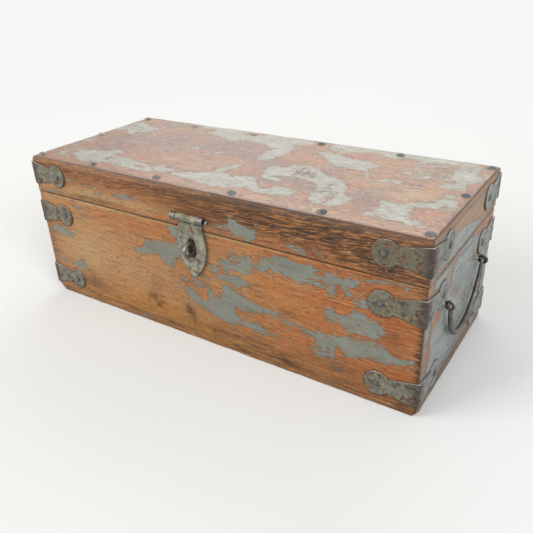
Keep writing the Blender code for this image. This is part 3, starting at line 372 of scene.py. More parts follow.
# Soft spots: place, half width, half height, amount.
FRONT_TONES = {
    "pale": (
        # The spots at heights 116.6 and 116.9 are a painted highlight along the body's top rim.
        (-150, 62, 62, 44, 0.85), (-70, 56, 40, 26, 0.55), (-110, 127, 90, 6, 0.85), (-120, 116.6, 95, 1.7, 1.0),
        (-195, 112, 30, 5, 0.4), (85, 147, 10, 2, 0.8), (120, 6, 22, 3, 0.6), (-196, 12, 10, 4, 0.6),
        (0, 4, 210, 3.5, 0.6), (-20, 18, 90, 9, 0.35),
        (20, 116.6, 60, 1.2, 0.6), (175, 55, 2, 1.5, 1.0), (100, 70, 30, 8, 0.2), (135, 4, 20, 3, 0.5),
        (-50, 24, 55, 18, 0.7), (10, 12, 70, 8, 0.8), (-110, 14, 60, 8, 0.5),
        (30, 84, 60, 34, 0.3), (50, 116.9, 110, 0.8, 1.0), (195, 116.9, 14, 0.8, 0.8),
    ),
    "red": (
        (168, 116.6, 14, 1.1, 1.0), (120, 115.8, 60, 1.6, 0.45), (150, 70, 80, 44, 0.4),
        (165, 115.4, 12, 1.1, 1.0), (10, 9, 120, 8, 0.45), (-60, 24, 60, 14, 0.35), (-130, 12, 60, 8, 0.3),
        (165, 102, 8, 7, 0.5), (195, 80, 22, 16, 0.45), (192, 36, 14, 6, 0.6), (82, 123.5, 18, 4, 0.5),
        (188, 124, 20, 4, 0.6), (-185, 88, 26, 5, 0.5), (-150, 108, 40, 5, 0.3), (50, 20, 90, 12, 0.15),
        (140, 98, 6, 4, 0.5), (-60, 103, 30, 6, 0.3), (88, 77, 24, 12, 0.4), (60, 100, 16, 5, 0.3),
    ),
    "brown": (
        (110, 139, 150, 15, 0.95), (-60, 146, 130, 6, 0.55), (-190, 146, 60, 8, 0.6), (-120, 122, 40, 3, 0.6),
        (150, 6, 60, 6, 0.45), (-150, 24, 26, 9, 0.6), (-16, 29, 9, 7, 0.7), (92, 9, 14, 7, 0.7),
        (-60, 5, 150, 5, 0.3), (-205, 66, 6, 26, 0.5), (208, 60, 3, 60, 0.85), (-63, 33, 9, 4, 0.4),
        (60, 17, 130, 7, 0.35), (-60, 12, 60, 7, 0.3), (0, 4, 210, 5, 0.3), (188, 66, 12, 14, 0.35),
        (-55, 45, 12, 14, 0.3), (150, 28, 40, 5, 0.4), (30, 22, 40, 6, 0.3), (80, 151, 150, 7, 0.8),
        (185, 124, 45, 7, 0.7),
        (180, 132, 40, 14, 0.6), (-100, 90, 14, 3, 0.2), (200, 6, 14, 7, 0.8),
        (-207, 20, 4, 20, 0.5), (-150, 36, 9, 2, 0.35),
    ),
    "dark": (
        (75, 114, 2, 1, 0.7), (93, 114, 2, 1, 0.7), (139, 113, 2.2, 1.2, 0.7), (205.7, 58.4, 1.8, 1.6, 0.95),
        (-57, 24, 3.8, 3.0, 0.95), (-52, 28, 7, 1.4, 0.6), (-62, 29, 2.5, 3.5, 0.6), (37, 6, 3, 2, 0.6),
        (45, 3, 3, 1.5, 0.6),
        (12, 16, 3, 1.5, 0.5), (38, 19, 3, 1.5, 0.5), (-115, 16, 2, 2, 0.5), (-146, 8, 4, 2, 0.4),
        # The lines at heights 118.2 and 117.5 are painted shade in the seam under the lid; the two spots at (-4, 99)
        # are painted shade behind the hasp's slot.
        (0, 9.4, 230, 0.6, 0.45), (209.3, 60, 1.2, 70, 0.8), (0, 154.9, 230, 0.9, 0.4), (0, 118.2, 230, 0.75, 0.9),
        (0, 117.5, 230, 0.4, 0.5), (-4, 99, 9, 15, 0.97), (-4, 99, 8, 13, 0.95),
        (116, 151, 4, 1.0, 0.5), (-30, 141, 30, 1.0, 0.4), (113, 35, 1.2, 3, 0.35), (193, 2, 12, 2, 0.4),
        (-166, 133, 9, 1.5, 0.4), (-148, 31, 4, 1.5, 0.4), (-150, 122, 9, 1.2, 0.5), (-128, 123, 12, 1.0, 0.4),
        (60, 151, 14, 1.0, 0.5), (90, 143, 22, 1.0, 0.4), (20, 139, 16, 0.9, 0.4), (-40, 8, 12, 1.2, 0.6),
        (-95, 7, 10, 1.0, 0.5), (17, 17.5, 10, 1.3, 0.8), (32, 15, 8, 1.2, 0.6), (56, 20, 12, 1.0, 0.5),
        (70, 20, 8, 0.9, 0.45), (80, 17.5, 8, 1.0, 0.5), (36, 7, 6, 1.6, 0.7), (46, 4.5, 5, 1.2, 0.6),
        (84, 3, 5, 1.3, 0.6),
        (95, 8.5, 8, 1.6, 0.7), (-17, 31, 3.5, 5, 0.75), (-12, 27, 2.5, 5, 0.6), (-12, 20, 1.2, 9, 0.5),
        (91, 61, 7, 3, 0.45), (140, 22, 20, 5, 0.3), (100, 62, 10, 1.2, 0.3), (62, 74, 9, 1.0, 0.3),
        (58, 14, 9, 1.6, 0.6), (75, 10, 12, 1.4, 0.6), (20, 12, 8, 1.2, 0.6),
        (110, 8, 10, 1.2, 0.5), (-70, 27, 3, 6, 0.4), (-48, 30, 6, 1, 0.4), (88, 47, 4, 2.5, 0.4),
    ),
}
TOP_TONES = {
    "pale": (
        (165, -12, 24, 18, 0.95), (120, 46, 40, 12, 0.5), (-70, -28, 9, 7, 0.5), (-35, -38, 10, 8, 0.5),
        (-22, -20, 8, 8, 0.45),
        (-145, 55, 16, 14, 0.4), (110, -77, 120, 4, 0.5), (150, 22, 8, 10, 0.4), (130, -2, 16, 5, 0.9),
        (208, 50, 3, 12, 0.5),
    ),
    "red": (
        (90, 58, 16, 12, 0.5), (32, 58, 14, 9, 0.5), (10, -34, 9, 6, 0.5), (45, -46, 9, 6, 0.4),
        (165, 52, 16, 18, 0.55), (192, -48, 14, 12, 0.55), (165, 5, 20, 12, 0.3), (30, 30, 16, 18, 0.3),
        (-168, 62, 11, 6, 0.6), (-188, -30, 9, 17, 0.5), (-125, -25, 8, 11, 0.4), (-155, 28, 7, 7, 0.4),
        (-55, 15, 9, 6, 0.4), (-30, 8, 4, 6, 0.4), (204, 20, 6, 12, 0.6), (125, 52, 16, 14, 0.3),
        (-95, -45, 10, 7, 0.4), (-200, -66, 9, 8, 0.4), (120, 26, 10, 7, 0.3), (66, -38, 14, 7, 0.3),
    ),
    "brown": (
        (140, -52, 12, 13, 0.55), (21, -12, 8, 24, 0.5), (62, -30, 30, 13, 0.6), (88, 24, 10, 16, 0.5),
        (-28, 19, 30, 10, 0.5), (12, 14, 10, 14, 0.5), (130, -44, 20, 14, 0.4), (-100, 20, 40, 12, 0.35),
        (-50, 32, 22, 13, 0.4), (-52, -48, 12, 7, 0.5),
        (-13, 12, 9, 9, 0.4), (0, -85.5, 230, 3.2, 0.95), (162, 9, 5, 4, 0.5), (138, -20, 14, 10, 0.35),
        (83, -42, 7, 17, 0.4), (96, -68, 12, 8, 0.35), (208.5, 0, 2.5, 90, 0.6), (-209, 0, 2.5, 90, 0.5),
        (0, 85.5, 230, 2.0, 0.5), (-85, -6, 5, 4, 0.6), (-50, -25, 7, 6, 0.4), (-175, 5, 13, 18, 0.35),
        (-150, -28, 16, 14, 0.4), (-125, 5, 16, 18, 0.3), (-110, 48, 14, 9, 0.35), (86, 8, 9, 6, 0.35),
        (34, 6, 12, 5, 0.4), (150, -5, 9, 2.5, 0.4), (-20, 40, 20, 8, 0.25), (-140, 84, 60, 4, 0.3),
        (-150, 10, 75, 60, 0.4), (-60, 20, 50, 30, 0.25), (0, 0, 60, 80, 0.15),
    ),
    "dark": (
        (-173.5, -82.5, 2, 1.5, 0.8), (-14.5, -78, 1.8, 1.4, 0.8), (-140, -69.5, 1.8, 1.4, 0.8),
        (99, -25, 1.8, 1.6, 0.8), (101, -38, 1.4, 2, 0.7), (208, -36.5, 2, 2, 0.8), (96, -22, 3, 1, 0.5),
        (58, -4, 1.0, 5, 0.4), (75, -13, 1, 2, 0.4), (202, -54, 1.4, 1.6, 0.5), (-170, -30, 5, 4, 0.3),
        (0, -86.6, 230, 1.0, 0.5), (156, -76, 2, 1, 0.4), (176, -78, 2, 1, 0.4), (203, 55, 1.5, 2, 0.3),
        (109, -45, 1.0, 7, 0.3), (186, 29, 0.8, 3, 0.4),
    ),
}
END_TONES = {
    "pale": ((20, 146, 60, 7, 0.55), (50, 128, 30, 6, 0.4), (20, 24, 24, 8, 0.3)),
    "red": (
        (-58, 79, 12, 7, 0.7), (15, 57, 8, 5, 1.0), (34, 91, 8, 5, 0.8), (-28, 95, 6, 12, 0.6),
        (50, 54, 12, 6, 0.7), (-80, 68, 6, 10, 0.4),
    ),
    "brown": (
        (-84, 30, 5, 30, 0.5), (0, 4, 90, 6, 0.8), (60, 20, 30, 12, 0.4), (86, 60, 3, 70, 0.6),
        (0, 14, 90, 7, 0.7), (40, 26, 60, 8, 0.4), (30, 110, 40, 5, 0.3), (0, 70, 30, 20, 0.3),
        (-86.5, 70, 1.6, 90, 0.6), (60, 124, 30, 5, 0.4),
    ),
    "dark": (
        (-72.5, 60, 0.8, 60, 0.35), (72.5, 60, 0.8, 60, 0.35), (0, 10.2, 90, 1.0, 0.6), (-74, 62, 2, 2, 0.6),
        # (0, 119) is painted shade in the seam under the lid.
        (50, 12, 4, 2, 0.5), (0, 119, 90, 0.8, 0.5), (-86.6, 30, 1.0, 22, 0.5), (-73, 48, 1, 6, 0.4),
    ),
}
FACES = {
    "front": (FRONT_PAINT, (), FRONT_CHIPS, FRONT_BARE, FRONT_TONES),
    "top": (TOP_PAINT, TOP_MOTTLED, TOP_CHIPS, TOP_BARE, TOP_TONES),
    "end": (END_PAINT, (), END_CHIPS, END_BARE, END_TONES),
}
PAINT_REACH = 8.0  # How far from its edge the paint's mask still rises and falls.
# Old scratches through the paint of the lid's top, from end to end.
SCRATCHES = (
    (53, -2, 60, -12), (58, 4, 61, -14), (60, -6, 69, -10), (64, 3, 67, -12), (66, -4, 76, -14), (71, 2, 74, -10),
    (56, -11, 70, -4), (95, -25, 105, -22), (99, -20, 101, -45), (95, -35, 106, -28), (97, -41, 107, -36),
    (101, -29, 109, -43), (94, -45, 103, -38),
)
# Where the grain parts round a knot: place, half width, half height.
KNOTS = {
    "front": ((-57, 25, 26, 12), (-16, 30, 20, 8), (92, 10, 22, 7), (-150, 33, 24, 9), (60, 138, 26, 6),
    (30, 90, 30, 9)),
    "top": ((-85, -6, 22, 9), (99, -30, 20, 10), (140, -52, 24, 9), (21, 30, 30, 12), (-150, 30, 26, 12)),
    "end": ((30, 60, 26, 12), (-40, 30, 20, 8)),
}
TONES = ("pale", "red", "brown", "dark")


# Masks


def from_line(spots, start, end):
    """Distance of each spot from a straight line between two points."""
    along = np.subtract(end, start)
    share = np.clip(((spots - start) @ along) / (along @ along), 0, 1)
    return np.linalg.norm(spots - start - share[:, None] * along, axis=1)


def from_outline(spots, outline):
    """Distance of each spot from an outline, positive inside it."""
    near = np.full(len(spots), 1e9)
    inside = np.zeros(len(spots), bool)
    corners = np.array(outline, float)
    for (ax, ay), (bx, by) in zip(corners, np.roll(corners, -1, 0)):
        near = np.minimum(near, from_line(spots, (ax, ay), (bx, by)))
        crosses = (spots[:, 1] >= min(ay, by)) & (spots[:, 1] < max(ay, by))
        if by != ay:
            inside ^= crosses & (spots[:, 0] < ax + (spots[:, 1] - ay) / (by - ay) * (bx - ax))
    return near * np.where(inside, 1, -1)


def from_oval(spots, oval):
    """Rough distance of each spot from an upright oval, positive inside it."""
    x, y, wide, tall = oval
    ring = np.hypot((spots[:, 0] - x) / wide, (spots[:, 1] - y) / tall)
    return (1 - ring) * min(wide, tall)


def softly(spots, oval):
    """1 in the middle of an upright oval, fading to 0 outside it."""
    x, y, wide, tall = oval
    return np.exp(-(((spots[:, 0] - x) / wide) ** 2 + ((spots[:, 1] - y) / tall) ** 2))


def face_masks(face, spots):
    """How much paint and how much of each wood tone there is at each spot of a face."""
    paint, mottled, chips, bare, tones = FACES[face]
    field = np.full(len(spots), -PAINT_REACH)
    for outline in paint:
        field = np.maximum(field, from_outline(spots, outline))
    for outline in mottled:
        field = np.maximum(field, np.minimum(from_outline(spots, outline) / 4, -0.2))
    for oval in chips:
        field = np.maximum(field, from_oval(spots, oval))
    for oval in bare:
        field = np.minimum(field, -from_oval(spots, oval))
    masks = {"paint": 0.5 + np.clip(field, -PAINT_REACH, PAINT_REACH) / (2 * PAINT_REACH)}
    for tone in TONES:
        left = np.ones(len(spots))
        for *spot, amount in tones[tone]:
            left *= 1 - amount * softly(spots, spot)
        masks[tone] = 1 - left
    # The dark mask also takes the painted shadow round the straps, with the nails' rings and the scratches.
    masks["dark"] = 1 - (1 - masks["dark"]) * (1 - painted_shadow_and_marks(face, spots))
    masks["bend"] = 2.2 * np.sin(spots[:, 0] / 47) + 0.05 * spots[:, 0] * np.sin(spots[:, 1] / 31)
    for knot in KNOTS[face]:
        masks["bend"] -= 0.8 * (spots[:, 1] - knot[1]) * softly(spots, knot)
    return masks


def strap_outline():
    """A strap's leaf from above its corner round the disc to below it, as (from corner, height)."""
    start = pi - asin(STRAP_NECK_HALF / DISC_RADIUS)
    return [(-3.0, STRAP_HALF), *arc((DISC_FROM_CORNER, 0), DISC_RADIUS, start, -start, 16), (-3.0, -STRAP_HALF)]


def scratched(spots):
    """How near each spot of the top is to a scratch."""
    mark = np.zeros(len(spots))
    for ax, ay, bx, by in SCRATCHES:
        mark = np.maximum(mark, 0.75 * np.exp(-((from_line(spots, (ax, ay), (bx, by)) / 0.9) ** 2)))
    return mark


def painted_shadow_and_marks(face, spots):
    """Painted shadow and dirt round the straps, darker and wider below them and on the ends, a dark ring round each lid
    nail, and the lid's scratches.
    """
    shadow_and_marks = np.zeros(len(spots))
    if face == "top":
        for x in LID_NAIL_X:
            for y in (-LID_NAIL_Y, LID_NAIL_Y):
                ring = np.hypot(spots[:, 0] - x, spots[:, 1] - y) - LID_NAIL[0]
                shadow_and_marks = np.maximum(shadow_and_marks, 0.4 * np.exp(-((np.maximum(ring, 0) / 0.8) ** 2)))
        return np.maximum(shadow_and_marks, scratched(spots))
    for height, half_length, _ in STRAP_LEVELS.values():
        half = half_length if face == "front" else FACE_Y
        for sign in (-1, 1):
            leaf = [(sign * (half - u), height + v) for u, v in strap_outline()]
            out = np.maximum(-from_outline(spots, leaf), 0)
            # Below a strap, and on the ends, the band is darker and wider: painted shadow.
            below = (spots[:, 1] < height) | (face == "end")
            shadow_and_marks = np.maximum(shadow_and_marks, np.where(below, 0.95, 0.6) * np.exp(-((out / np.where(below, 1.4, 0.9)) ** 2)))
    return shadow_and_marks


# Pieces


def drift(points, size, seed):
    """A slow, smooth rise and fall from about -1 to 1, the same at every run."""
    chance = np.random.RandomState(seed)
    total = np.zeros(len(points))
    for _ in range(6):
        wave = chance.normal(size=3) / size
        total += np.sin(points @ wave + chance.uniform(0, 2 * pi))
    return total / 3


def new_piece(name, points, faces, finish, body, slot, nodes, masks):
    """Makes a shown piece from points in millimetres and lets it stand for its CAD nodes."""
    mesh = bpy.data.meshes.new(name)
    mesh.from_pydata((np.asarray(points, float) * MM).tolist(), [], [list(map(int, f)) for f in faces])
    mesh.validate()
    mesh.update()
    mesh.shade_smooth()
    for mask, values in masks.items():
        mesh.attributes.new(mask, "FLOAT", "POINT").data.foreach_set("value", np.asarray(values, np.float32))
    obj = bpy.data.objects.new(name, mesh)
    bpy.context.scene.collection.objects.link(obj)
    mesh.materials.append(finish)
    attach(obj, body)
    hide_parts(*nodes)


def joined(*parts):
    """Several (points, faces) parts as one."""
    points, faces, start = [], [], 0
    for spots, sides in parts:
        points.append(np.asarray(spots, float))
        faces += [[k + start for k in side] for side in sides]
        start += len(spots)
    return np.concatenate(points), faces


def moved(part, matrix):
    """The same part in another place; a mirrored one keeps its outside outside."""
    points, faces = part
    spots = np.asarray(points, float) @ np.array(matrix.to_3x3()).T + np.array(matrix.translation)
    if matrix.to_3x3().determinant() < 0:
        faces = [list(reversed(face)) for face in faces]
    return spots, faces


def edge_wear_light_and_shade(points, faces):
    """How far each point stands out from its neighbours, from 0 to 1: upper edges for wear with a painted highlight,
    lower ones for painted shade.
    """
    mesh = bpy.data.meshes.new("wear")
    mesh.from_pydata(np.asarray(points, float).tolist(), [], [list(map(int, f)) for f in faces])
    mesh.update()
    normals = np.array([v.normal for v in mesh.vertices])
    ends = np.array([e.vertices for e in mesh.edges])
    bpy.data.meshes.remove(mesh)
    spots = np.asarray(points, float)
    way = spots[ends[:, 0]] - spots[ends[:, 1]]
    way /= np.maximum(np.linalg.norm(way, axis=1), 1e-6)[:, None]
    total, count = np.zeros(len(spots)), np.zeros(len(spots))
    for side, sign in ((0, 1), (1, -1)):
        np.add.at(total, ends[:, side], sign * np.einsum("ij,ij->i", way, normals[ends[:, side]]))
        np.add.at(count, ends[:, side], 1)
    edge = total / np.maximum(count, 1) * 4
    # Upper edges count as lit and lower ones as shaded: a painted highlight and painted shade.
    lit = np.clip(0.75 + 0.6 * normals[:, 2], 0, 1.2)
    return np.clip(edge * lit, 0, 1), np.clip(edge * (1.1 - lit), 0, 1)


def iron_piece(node, ending, part, iron, body, slot, **masks):
    """A metal piece named after its node, with masks for its rubbed and lit upper rims and the painted shade of its
    lower ones.
    """
    masks["worn"], masks["shaded"] = edge_wear_light_and_shade(*part)
    new_piece(node + ending, *part, material(iron), body, slot, [node], masks)


# Boards


# By node: material, the sides that have one large face, and the mesh spacing as a share of the front's.
BOARDS = {
    "front_board": ("long_board_wood", ("+y",), 1.0),
    "back_board": ("long_board_wood", ("-y",), 1.5),
    "right_end_board": ("end_board_wood", ("-x",), 1.0),
    "left_end_board": ("end_board_wood", ("+x",), 1.5),
    "bottom_board": ("long_board_wood", ("-z", "+z"), 1.0),
    "lid_top_board": ("lid_top_wood", ("-z",), 1.0),
    "lid_front_rail": ("long_board_wood", ("+y",), 1.0),
    "lid_back_rail": ("long_board_wood", ("-y",), 1.5),
    "lid_right_rail": ("end_board_wood", ("-x",), 1.0),
    "lid_left_rail": ("end_board_wood", ("+x",), 1.5),
}
# Sides of a box in the order in which they claim its edges: axis, and 1 for the far end.
SIDES = {"-y": (1, 0), "+z": (2, 1), "+x": (0, 1), "-x": (0, 0), "+y": (1, 1), "-z": (2, 0)}
# Mesh lines that round an edge, from the edge inwards as shares of its rounding.
NEAR_EDGE = (0, 0.35, 0.8, 1.4)
BORDER = len(NEAR_EDGE) - 1


def lattice_lines(low, high, edge, spacing):
    """Places of the mesh lines along one axis: close together at both ends, then evenly apart."""
    near = edge * np.array(NEAR_EDGE)
    count = max(1, int(round((high - low - 2 * near[-1]) / spacing)))
    middle = np.linspace(low + near[-1], high - near[-1], count + 1)
    return np.concatenate((low + near[:-1], middle, (high - near[:-1])[::-1]))


def board_shell(lines, plain):
    """The lattice on a box's six sides; a plain side has one large face inside its border."""
    shape = [len(line) for line in lines]
    at = np.indices(shape)
    keep = np.zeros(shape, bool)
    label = np.full(shape, -1)
    for number, (axis, end) in enumerate(SIDES.values()):
        on = at[axis] == (shape[axis] - 1) * end
        keep |= on
        label[on & (label < 0)] = number
    for side in plain:
        axis, end = SIDES[side]
        middle = at[axis] == (shape[axis] - 1) * end
        for other in {0, 1, 2} - {axis}:
            middle &= (at[other] > BORDER) & (at[other] < shape[other] - 1 - BORDER)
        keep &= ~middle
    number = np.full(shape, -1)
    number[keep] = np.arange(keep.sum())
    points = np.stack([np.asarray(lines[a])[at[a]][keep] for a in range(3)], 1)
    faces = []
    for side, (axis, end) in SIDES.items():
        sheet = np.take(number, (shape[axis] - 1) * end, axis)
        if axis == 1:
            sheet = sheet.T
        quads = np.stack((sheet[:-1, :-1], sheet[1:, :-1], sheet[1:, 1:], sheet[:-1, 1:]), -1)
        if side in plain:
            rows, columns = np.indices(quads.shape[:2])
            far_row, far_column = (size - 1 - BORDER for size in sheet.shape)
            in_border = (rows < BORDER) | (rows >= far_row) | (columns < BORDER) | (columns >= far_column)
            quads = quads[in_border]
            loop = [*sheet[BORDER:far_row, BORDER], *sheet[far_row, BORDER:far_column],
                    *sheet[far_row:BORDER:-1, far_column], *sheet[BORDER, far_column:BORDER:-1]]
            faces.append(loop if end else loop[::-1])
        quads = quads.reshape(-1, 4)
        faces += (quads if end else quads[:, ::-1]).tolist()
    return points, faces, label[keep]


def eased(points, low, high, edge):
    """Points of a box moved in to round its edges; the rounding may differ from point to point."""
    inner = np.clip(points, low + edge[:, None], high - edge[:, None])
    out = points - inner
    length = np.linalg.norm(out, axis=1)
    return inner + out / np.maximum(length, 1e-9)[:, None] * np.minimum(length, edge)[:, None]


def in_joint(points, high, near, beyond):
    """Which points are near a joint, where the boards' edges stay sharp and clean."""
    height = points[:, 2]
    joint = (np.abs(height - BOTTOM_JOINT) < near) | (np.abs(height - TOP_JOINT) < near)
    return joint | ((high[1] < END_BOARD_Y) & (np.abs(points[:, 1]) > beyond))


def worn_shape(points, low, high, edge):
    """Rounds a board's edges unevenly and wears away the chest's most knocked corners."""
    size = (high - low).min()
    wear = edge * (1 + 0.35 * drift(points, 11, 3) + 0.2 * drift(points, 3, 8))
    lid_arris = np.exp(-(((points[:, 2] - LID_TOP) / 2.5) ** 2)) * (high[2] > LID_TOP - 0.2)
    wear = wear + lid_arris * (1.1 + 0.5 * drift(points, 17, 5)) * 1.1
    wear = np.where(in_joint(points, high, 2, 66), 0.35, wear)
    shaped = eased(points, low, high, np.clip(wear, 0.3, 0.42 * size))
    for x, y, z, reach in KNOCKED:
        toward = np.sign((x, y, z - 50))
        gap = np.abs(shaped - (x, y, z))
        over = reach - gap[:, 0] - gap[:, 2] - 0.35 * gap[:, 1] + 0.8 * drift(points, 4, 21)
        over = np.maximum(over, 0) / 2
        shaped = shaped - np.stack((over, 0.3 * over, over), 1) * toward
    return shaped


def make_boards(context, *nodes):
    """Boards over their solids, with their paint and tones as masks."""
    settings = context.scene.chest_wood
    for node in nodes:
        wood, plain, share = BOARDS[node]
        body, slot = ("lid", "lid_wood") if node.startswith("lid") else ("chest", "body_wood")
        make_board(node, material(wood), body, slot, plain, settings.spacing / MM * share, settings.edge / MM)


def make_board(node, finish, body, slot, plain, spacing, rounding_wanted):
    """One board over its solid."""
    low, high = (np.array(corner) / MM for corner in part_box(node))
    edge = min(rounding_wanted, 0.16 * (high - low).min() + 0.1)
    across = min(3.0, spacing * 2)
    lines = [lattice_lines(a, b, edge, across if b - a < 20 else spacing) for a, b in zip(low, high)]
    points, faces, label = board_shell(lines, plain)
    masks = {mask: np.zeros(len(points)) for mask in ("paint", "inner", "arris", "up", "side", "bend", *TONES)}
    x, y, height = points.T
    # The sides that are seen: whether this board has them, their face, and the places on it.
    seen = {
        "-y": (low[1] < 0.5 - FACE_Y, "front", (x, height)),
        "+y": (high[1] > FACE_Y - 0.5, "front", (BACK_SHIFT - x, height)),
        "+z": (high[2] > LID_TOP - 0.2, "top", (x, y)),
        "+x": (high[0] > LID_FACE_X - 1, "end", (y, height)),
        "-x": (low[0] < 1 - LID_FACE_X, "end", (-y, height)),
    }
    for number, side in enumerate(SIDES):
        here = label == number
        outer, face, flat = seen.get(side, (False, None, None))
        if not outer:
            masks["inner"][here] = 1.0
            continue
        for mask, values in face_masks(face, np.stack(flat, 1)[here]).items():
            masks[mask][here] = values
        masks["up"][here] = float(face == "top")
        masks["side"][here] = float(face == "end")
    gaps = np.sort(np.minimum(points - low, high - points), axis=1)
    masks["arris"] = np.exp(-((gaps[:, 1] / 1.3) ** 2))
    masks["arris"][in_joint(points, high, 1.6, 69) | (np.abs(height - BODY_RIM) < 0.4)] *= 0.15
    masks["arris"] *= np.where((height > 152) & (x < 20), 0.35, 1)
    # Painted shade in the seam between lid and body, darkest near the outer faces.
    from_face = np.minimum(LID_FACE_X - np.abs(x), FACE_Y - np.abs(y))
    in_seam = np.where(np.abs(height - LID_SEAM) < 0.4, 0.9 * np.exp(-((from_face / 2.5) ** 2)), 0)
    masks["dark"] = np.maximum(masks["dark"], in_seam)
    # The back repeats the front's stains and painted shade turned round, but not the painted shade behind the hasp.
    behind_hasp = (y > 0) & (np.hypot((x - BACK_SHIFT - 4) / 20, (height - 99) / 28) < 1)
    masks["dark"][behind_hasp] = 0.0
    # No brown along the body's top rim, so that its painted highlight shows.
    masks["brown"] *= 1 - 0.9 * np.exp(-(((height - 116.9) / 0.8) ** 2)) * (high[2] < LID_SEAM)
    new_piece(node + "_worn", worn_shape(points, low, high, edge), faces, finish, body, slot, [node], masks)


# Iron


def grid(rows, columns, around=True, closed=False, start=0):
    """Quads between rows of points. around joins each row's ends, closed joins the last row to the first."""
    quads = []
    for row in range(rows if closed else rows - 1):
        a, b = start + row * columns, start + (row + 1) % rows * columns
        for k in range(columns if around else columns - 1):
            n = (k + 1) % columns
            quads.append((a + k, a + n, b + n, b + k))
    return quads


def rim_quads(line, gap, flip):
    """Quads between a line of points and the same line gap points further on."""
    quads = [(a, b, b + gap, a + gap) for a, b in zip(line, line[1:])]
    return [quad[::-1] for quad in quads] if flip else quads


def rounding(to_rim, rim):
    """How far a plate's face lies back at a distance from its rounded rim."""
    return rim - sqrt(max(rim**2 - max(rim - to_rim, 0) ** 2, 0))


def angles(count):
    """Equal steps round a circle."""
    return [2 * pi * k / count for k in range(count)]


def turned(profile, sides, hammering=0.0, seed=0):
    """A shape turned about Z from (radius, height) pairs that rise, closed at both ends on the axis."""
    rings = profile[1:-1]
    points = [(0, 0, profile[0][1])]
    points += [(radius * cos(a), radius * sin(a), height) for radius, height in rings for a in angles(sides)]
    points.append((0, 0, profile[-1][1]))
    top = 1 + (len(rings) - 1) * sides
    faces = grid(len(rings), sides, start=1)
    for k in range(sides):
        n = (k + 1) % sides
        faces += [(0, 1 + n, 1 + k), (top + k, top + n, len(points) - 1)]
    spots = np.array(points, float)
    if hammering:
        spots[:, :2] *= (1 - hammering * (0.5 + 0.5 * drift(spots, 1.1, seed)))[:, None]
        spots[:, 2] -= hammering * 0.8 * (0.5 + 0.5 * drift(spots, 1.3, seed + 1)) * (spots[:, 2] > 0.3)
    return spots, faces


def swept(centres, radii, sides, closed=False, hammering=0.0, seed=0):
    """A round bar along a line of centres."""
    centres = np.asarray(centres, float)
    if closed:
        along = np.roll(centres, -1, 0) - np.roll(centres, 1, 0)
    else:
        along = np.gradient(centres, axis=0)
    along /= np.linalg.norm(along, axis=1)[:, None]
    side = np.cross(along[0], (0.0, 0.0, 1.0))
    if np.linalg.norm(side) < 0.1:
        side = np.cross(along[0], (0.0, 1.0, 0.0))
    points = []
    for centre, radius, way in zip(centres, radii, along):
        side = side - way * (side @ way)
        side /= np.linalg.norm(side)
        up = np.cross(side, way)
        points += [centre + radius * (cos(a) * side + sin(a) * up) for a in angles(sides)]
    faces = [(b, c, d, a) for a, b, c, d in grid(len(centres), sides, closed=closed)]
    if not closed:
        faces += [tuple(range(sides))[::-1], tuple(range(len(points) - sides, len(points)))]
    spots = np.array(points)
    if hammering:
        inward = np.repeat(centres, sides, 0) - spots
        inward /= np.maximum(np.linalg.norm(inward, axis=1), 1e-9)[:, None]
        spots += inward * (hammering * (0.5 + 0.5 * drift(spots, 2.2, seed)))[:, None]
    return spots, faces


def arc(centre, radius, start, end, steps):
    """Points on a circle in a plane."""
    turn = np.linspace(start, end, steps + 1)
    return [(centre[0] + radius * cos(a), centre[1] + radius * sin(a)) for a in turn]


def taken_from(bm):
    """The points and faces of a bmesh, which is then let go."""
    bm.verts.index_update()
    part = ([tuple(v.co) for v in bm.verts], [[v.index for v in f.verts] for f in bm.faces])
    bm.free()
    return part


def outward(points, faces):
    """The same part with every face turned to look outwards."""
    bm = bmesh.new()
    verts = [bm.verts.new(p) for p in points]
    for face in faces:
        bm.faces.new([verts[k] for k in face])
    bmesh.ops.recalc_face_normals(bm, faces=bm.faces)
    return taken_from(bm)


def dome(radius, height, sides=20, seed=0, foot=0.0):
    """A nail's domed head with a short shank below it. foot lowers the rim to the wood."""
    rim = 0.1 - foot
    profile = [(0, -3.0), (0.5, -2.6), (0.9, -foot), (radius * 0.97, -foot), (radius, rim)]
    profile += [
        (radius * share, rim + (height - rim) * (1 - share**2) ** 0.8)
        for share in (0.98, 0.92, 0.82, 0.68, 0.5, 0.3, 0.12)
    ]
    return turned([*profile, (0, height)], sides, NAIL_DENTS, seed)


def strap_half_height(u):
    """Half the strap's height at a distance from the corner."""
    if u <= STRAP_NECK:
        return STRAP_HALF + (STRAP_NECK_HALF - STRAP_HALF) * (u + STRAP_OUT) / (STRAP_NECK + STRAP_OUT)
    return sqrt(max(DISC_RADIUS**2 - (u - DISC_FROM_CORNER) ** 2, 0.16))


